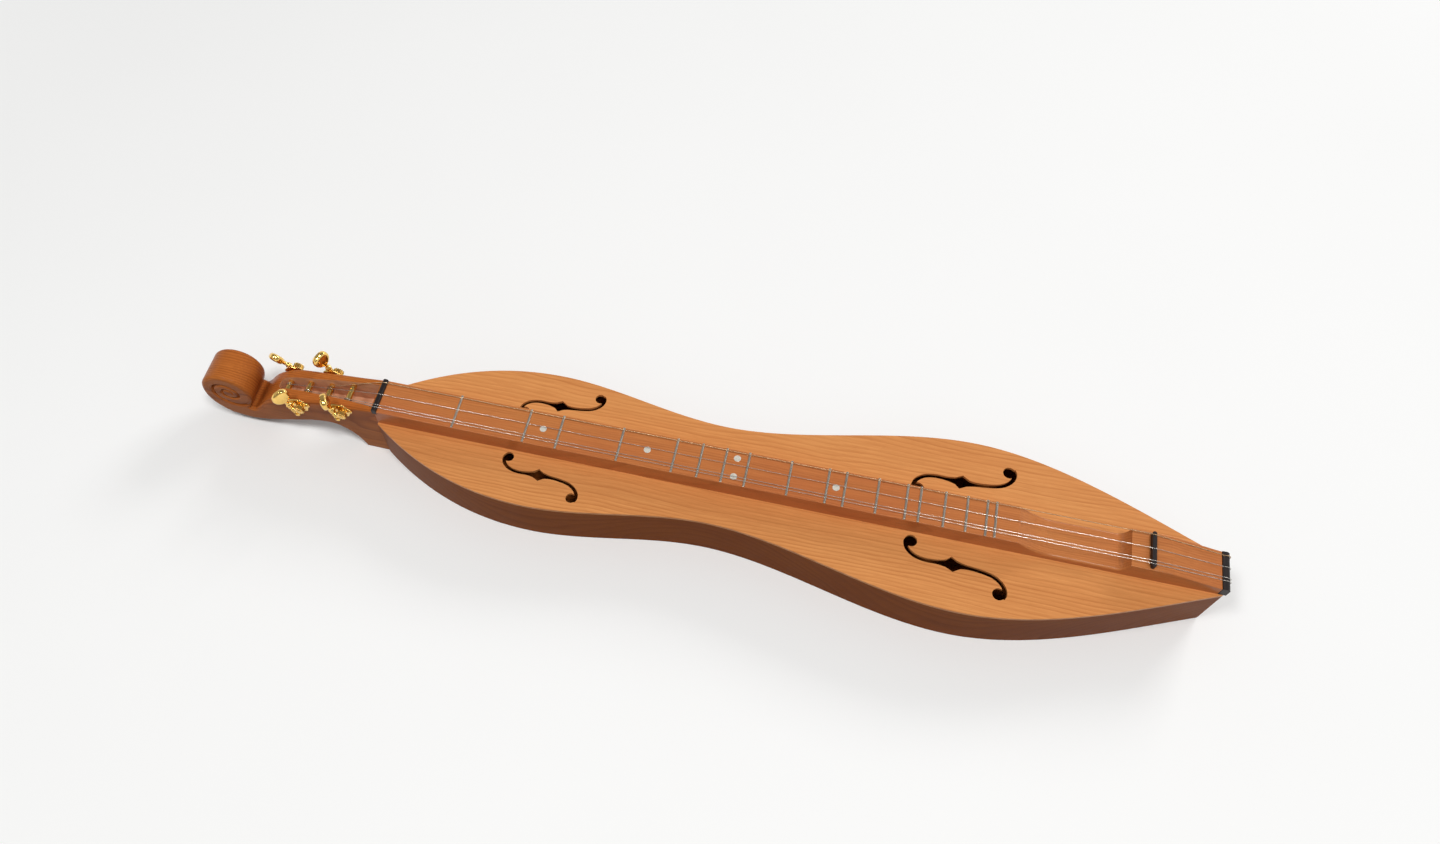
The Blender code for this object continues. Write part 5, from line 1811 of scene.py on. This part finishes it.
    def build_knob(self) -> None:
        """Make the worm shaft with its end cap, thread, collar, stem and dished button."""
        end = self.worm_half + self.thread_gap
        far = self.worm_half + self.bearing_span
        shaft = far + self.journal_reach
        rings = [round_ring(radius, -far - rise, self.sides) for rise, radius in self.cap]
        rings += [round_ring(self.journal, height, self.sides) for height in (-shaft, -end)]
        rings += self.thread_rings()
        rings += [round_ring(self.journal, height, self.sides) for height in (end, shaft)]
        rings += [round_ring(radius, far + rise, self.sides) for rise, radius in self.collar]
        base = far + self.stem_foot + self.stem
        for number, (rise, wide, thin) in enumerate(through(self.button, self.button_steps)):
            rings.append(self.button_ring(base + rise, wide, thin, min(1.0, number / self.square_steps)))
        knob = skin(f"knob_{self.name}", rings)
        shade(knob, angle=38)
        place = Matrix(((1, 0, 0), (0, 0, self.up), (0, -self.up, 0))).to_4x4()
        matrix = self.mount @ Matrix.Translation((self.mesh_distance, 0, self.worm_height)) @ place
        self.install(knob, "gold", "gold_plate", [f"tuner_knob_{self.name}"], f"knob_{self.name}", matrix)

    def button_ring(self, height: float, wide: float, thin: float, square: float) -> Ring:
        """Draw one section of the button: a squared oval whose broad faces are dished.

        Args:
            height: The section's height along the worm.
            wide: Its half width.
            thin: Its half thickness.
            square: How far it is squared and dished, from 0 to 1.

        Returns:
            The section.
        """
        ring = []
        power = 1.0 - self.squareness * square
        turned = math.radians(self.button_turn)
        c, s = math.cos(turned), math.sin(turned)
        for k in range(self.sides):
            turn = 2 * math.pi * k / self.sides
            a = wide * math.copysign(abs(math.cos(turn)) ** power, math.cos(turn))
            b = thin * math.copysign(abs(math.sin(turn)) ** power, math.sin(turn))
            b *= 1 - self.button_dish * square * (1 - abs(a) / wide) ** self.dish_power
            ring.append((a * c - b * s, a * s + b * c, height))
        return ring

    def build(self) -> None:
        """Make the tuner's three pieces."""
        self.build_plate()
        self.build_gear()
        self.build_knob()


PLAIN = 0.00025
WOUND = 0.00036


@dataclass(frozen=True)
class StringRoute:
    """One string: where it crosses the nut and the tail, which side its pin is on, and its post."""

    name: str
    y_nut: float
    y_tail: float
    pin_side: int
    tuner: str
    lane: float
    radius: float = PLAIN
    finish: str = "steel"
    slot: str = "string_steel"


STRING_ROUTES = (
    StringRoute("string_bass", y_nut=0.0140, y_tail=0.0146, pin_side=-1, tuner="far_tail", lane=0.0050,
                radius=WOUND, finish="bronze", slot="string_bronze"),
    StringRoute("string_middle", y_nut=0.0006, y_tail=0.0035, pin_side=-1, tuner="far_head", lane=0.0012),
    StringRoute("string_melody_inner", y_nut=-0.0113, y_tail=-0.0069, pin_side=1, tuner="near_head",
                lane=-0.0045),
    StringRoute("string_melody_outer", y_nut=-0.0142, y_tail=-0.0100, pin_side=-1, tuner="near_tail",
                lane=-0.0085),
)


@dataclass
class Strings(SubAssembly):
    """Four strings, each from its pin over the end piece, bridge and nut and round its post."""

    nut_height: float = 0.0028
    nut_reach: float = 0.0016
    bridge_height: float = 0.0052
    over_bridge: tuple[Point2, ...] = ((0.0026, -0.0004), (0.0010, 0.0), (-0.0022, 0.0))
    notch: float = 0.0002
    end_top: float = -0.0086
    end_thickness: float = 0.0070
    end_bend: float = 0.0028
    end_lip: Point2 = (0.0008, 0.0004)
    pin_radius: float = 0.0010
    pin_drop: float = 0.0190
    pin_turned: float = 250.0
    pin_steps: int = 20
    post_radius: float = 0.0030
    turns: float = 2.7
    turn_steps: int = 28
    coil_gap: float = 0.00048

    def round_pin(self, string: StringRoute) -> list[Point3]:
        """Lead a string round its pin and up over the end piece's edge.

        Args:
            string: The string's places.

        Returns:
            Its points there.
        """
        down = BOARD_END + 2 * GAP + self.end_thickness + WOUND
        pin_y = string.y_tail + string.pin_side * (self.pin_radius + GAP + WOUND)
        pin_z = self.end_top - self.pin_drop
        loop = self.pin_radius + GAP + string.radius
        points: list[Point3] = []
        for k in range(self.pin_steps + 1):
            angle = math.radians(-self.pin_turned + self.pin_turned * k / self.pin_steps)
            y = pin_y - string.pin_side * loop * math.cos(angle)
            points.append((down, y, pin_z + loop * math.sin(angle)))
        bend = self.end_bend
        for x, z in arc((down - bend, self.end_top + GAP - bend), bend, 0, 90, 10):
            points.append((x, string.y_tail, z))
        return points

    def round_post(self, string: StringRoute, lift: float) -> list[Point3]:
        """Wind a string round its post.

        Args:
            string: The string's places.
            lift: How high its middle leaves the nut.

        Returns:
            The coil's points, from where the string meets the post.
        """
        joint = next(j for j in frame["joints"] if j["name"] == f"post_spin_{string.tuner}")
        post = Vector(joint["pos_m"]) - ORIGIN
        wrap = self.post_radius + GAP + string.radius
        gap = Vector((-self.nut_reach - post.x, lift - post.z))
        tangent = math.atan2(gap.y, gap.x) + math.acos(wrap / gap.length)
        pitch = 2 * string.radius + self.coil_gap
        inwards = 1 if string.lane > string.y_nut else -1
        count = int(self.turns * self.turn_steps)
        points: list[Point3] = []
        for k in range(count + 1):
            share = k / count
            angle = tangent + 2 * math.pi * self.turns * share
            y = string.lane + inwards * pitch * self.turns * share
            points.append((post.x + wrap * math.cos(angle), y, post.z + wrap * math.sin(angle)))
        return points

    def route(self, string: StringRoute) -> list[Point3]:
        """Lay out a string's path.

        Args:
            string: The string's places.

        Returns:
            Its points from the pin to the last turn on the post.
        """
        points = self.round_pin(string)
        points.append((BOARD_END + self.end_lip[0], string.y_tail, self.end_top + self.end_lip[1]))
        lift = self.bridge_height + string.radius - self.notch
        points += [(STRING_LENGTH + dx, string.y_nut, lift + dz) for dx, dz in self.over_bridge]
        lift = self.nut_height + string.radius - self.notch
        points += [(self.nut_reach, string.y_nut, lift), (-self.nut_reach, string.y_nut, lift)]
        return points + self.round_post(string, lift)

    def build(self) -> None:
        """Make the strings."""
        for string in STRING_ROUTES:
            cord = tube(string.name + "_wire", self.route(string), string.radius)
            cord.data.shade_smooth()
            self.install(cord, string.finish, string.slot, [string.name])


@dataclass(frozen=True)
class FloorFinish:
    """A plain pale floor with the faintest mottle."""

    name: str = "studio_floor"
    pale: Colour = srgb(251, 251, 250)
    shade: Colour = srgb(248, 248, 247)
    thrown: Colour = srgb(128, 126, 124)
    fade: Point2 = (0.9, 2.2)
    mottle_scale: float = 2.5
    mottle_detail: float = 2.0
    roughness: float = 0.85
    specular: float = 0.1

    def make(self) -> bpy.types.Material:
        """Build the floor's material.

        It is pale to look at and in reflections, greyer for the light that it throws back, and plain white
        far from the instrument.

        Returns:
            The material.
        """
        work = NodeWork(self.name)
        mottle = work.noise(work.place(), self.mottle_scale, self.mottle_detail)
        path = work.add("ShaderNodeLightPath")
        seen = work.maths("ADD", path.outputs["Is Camera Ray"], path.outputs["Is Glossy Ray"])
        seen = work.maths("ADD", seen, path.outputs["Is Transmission Ray"], clamp=True)
        tint = work.mix(seen, self.thrown, work.mix(mottle, self.pale, self.shade))
        work.set(Base_Color=tint, Roughness=self.roughness, Specular_IOR_Level=self.specular)
        reach = work.add("ShaderNodeVectorMath", operation="LENGTH")
        work.feed(work.place(), reach.inputs[0])
        fade = work.add("ShaderNodeMapRange", interpolation_type="SMOOTHSTEP")
        work.feed(reach.outputs["Value"], fade.inputs["Value"])
        fade.inputs["From Min"].default_value, fade.inputs["From Max"].default_value = self.fade
        glow = work.add("ShaderNodeEmission")
        blend = work.add("ShaderNodeMixShader")
        work.feed(work.maths("MULTIPLY", fade.outputs["Result"], seen), blend.inputs["Fac"])
        work.feed(work.shader.outputs[0], blend.inputs[1])
        work.feed(glow.outputs[0], blend.inputs[2])
        work.feed(blend.outputs[0], work.tree.nodes["Material Output"].inputs["Surface"])
        return work.material


@dataclass(frozen=True)
class Lamp:
    """A soft lamp: where it hangs, its width and height, and its power in watts."""

    name: str
    place: Point3
    size: Point2
    power: float


@dataclass
class Studio:
    """Floor, soft light and the camera of the photograph."""

    floor_size: float = 9.0
    photo_lens: float = 27.563
    sensor: float = 36.0
    shift: Point2 = (0.0576, 0.0022)
    eye: Point3 = (0.40005, -0.47593, 0.98488)
    right: Point3 = (0.97107236, 0.237093, -0.02837931)
    down: Point3 = (0.19210567, -0.84629053, -0.496878)
    ahead: Point3 = (-0.14182344, 0.47705266, -0.86735625)
    room_light: float = 0.26
    world_glow: tuple[Point2, ...] = ((0.0, 1.0), (0.25, 0.85), (0.45, 0.34), (1.0, 0.20))
    lamps: tuple[Lamp, ...] = (
        Lamp("left_light", (-1.55, -1.00, 3.88), (0.9, 0.7), 47.0),
        Lamp("right_light", (1.20, -1.05, 3.99), (0.9, 0.7), 74.0),
        Lamp("back_light", (1.94, 3.23, 2.06), (1.6, 1.2), 52.0))
    lamp_aim: Point3 = (0.0, 0.0, 0.05)
    clip_start: float = 0.01

    def build_floor(self) -> None:
        """Lay the floor that the instrument rests on."""
        half = self.floor_size / 2
        square = ((-half, -half), (half, -half), (half, half), (-half, half))
        bm = bmesh.new()
        bm.faces.new([bm.verts.new((x, y, 0.0)) for x, y in square])
        floor = finish_mesh("studio_floor", bm)
        floor.data.materials.append(FloorFinish().make())

    def build_world(self) -> None:
        """Light the scene evenly and dimly; seen or in reflections, the world is brighter low down."""
        world = bpy.data.worlds.new("studio")
        bpy.context.scene.world = world
        world.use_nodes = True
        tree = world.node_tree
        background = tree.nodes["Background"]
        place = tree.nodes.new("ShaderNodeTexCoord")
        parts = tree.nodes.new("ShaderNodeSeparateXYZ")
        ramp = tree.nodes.new("ShaderNodeValToRGB")
        set_stops(ramp, self.world_glow)
        tree.links.new(place.outputs["Generated"], parts.inputs[0])
        tree.links.new(parts.outputs["Z"], ramp.inputs["Fac"])
        path = tree.nodes.new("ShaderNodeLightPath")
        seen = path.outputs["Is Camera Ray"]
        for kind in ("Is Glossy Ray", "Is Transmission Ray"):
            either = tree.nodes.new("ShaderNodeMath")
            either.operation = "MAXIMUM"
            tree.links.new(seen, either.inputs[0])
            tree.links.new(path.outputs[kind], either.inputs[1])
            seen = either.outputs[0]
        choose = tree.nodes.new("ShaderNodeMix")
        choose.data_type = "RGBA"
        tree.links.new(seen, choose.inputs[0])
        choose.inputs[6].default_value = (self.room_light, self.room_light, self.room_light, 1.0)
        tree.links.new(ramp.outputs["Color"], choose.inputs[7])
        tree.links.new(choose.outputs[2], background.inputs["Color"])
        background.inputs["Strength"].default_value = 1.0

    def hang_lamp(self, lamp: Lamp) -> None:
        """Hang a soft lamp that looks at the instrument's middle.

        Args:
            lamp: The lamp.
        """
        light = bpy.data.lights.new(lamp.name, "AREA")
        light.shape = "RECTANGLE"
        light.size, light.size_y = lamp.size
        light.energy = lamp.power
        hung = bpy.data.objects.new(lamp.name, light)
        bpy.context.scene.collection.objects.link(hung)
        hung.location = lamp.place
        ahead = Vector(self.lamp_aim) - Vector(lamp.place)
        hung.rotation_euler = ahead.to_track_quat("-Z", "Y").to_euler()

    def build_camera(self) -> None:
        """Stand the camera where the photograph was taken from."""
        data = bpy.data.cameras.new("photo_camera")
        data.sensor_fit = "HORIZONTAL"
        data.sensor_width = self.sensor
        data.lens = self.photo_lens
        data.shift_x, data.shift_y = self.shift
        data.clip_start = self.clip_start
        camera = bpy.data.objects.new("photo_camera", data)
        bpy.context.scene.collection.objects.link(camera)
        axes = (Vector(self.right), -Vector(self.down), -Vector(self.ahead))
        matrix = Matrix(axes).transposed().to_4x4()
        matrix.translation = Vector((self.eye[0] + ORIGIN.x, self.eye[1], self.eye[2]))
        camera.matrix_world = matrix
        bpy.context.scene.camera = camera

    def build(self) -> None:
        """Set up the studio."""
        self.build_floor()
        self.build_world()
        for lamp in self.lamps:
            self.hang_lamp(lamp)
        self.build_camera()
        bpy.context.scene.view_settings.view_transform = "Standard"


BUTTON_TURNS = {"near_tail": -60.0, "far_tail": 65.0, "near_head": 45.0, "far_head": -26.0}


def main() -> None:
    """Build every sub-assembly in order, then set up the studio."""
    logging.basicConfig(level=logging.INFO, format="%(name)s: %(message)s")
    rack = Rack(Palette())
    assemblies: list[SubAssembly] = [Body(rack), Fretboard(rack), Fittings(rack), Peghead(rack)]
    assemblies += [Tuner(rack, name=name, button_turn=turn) for name, turn in BUTTON_TURNS.items()]
    assemblies.append(Strings(rack))
    for assembly in assemblies:
        assembly.build()
        assembly.report()
    Studio().build()
    bpy.context.view_layer.update()


if __name__ == "__main__":
    main()
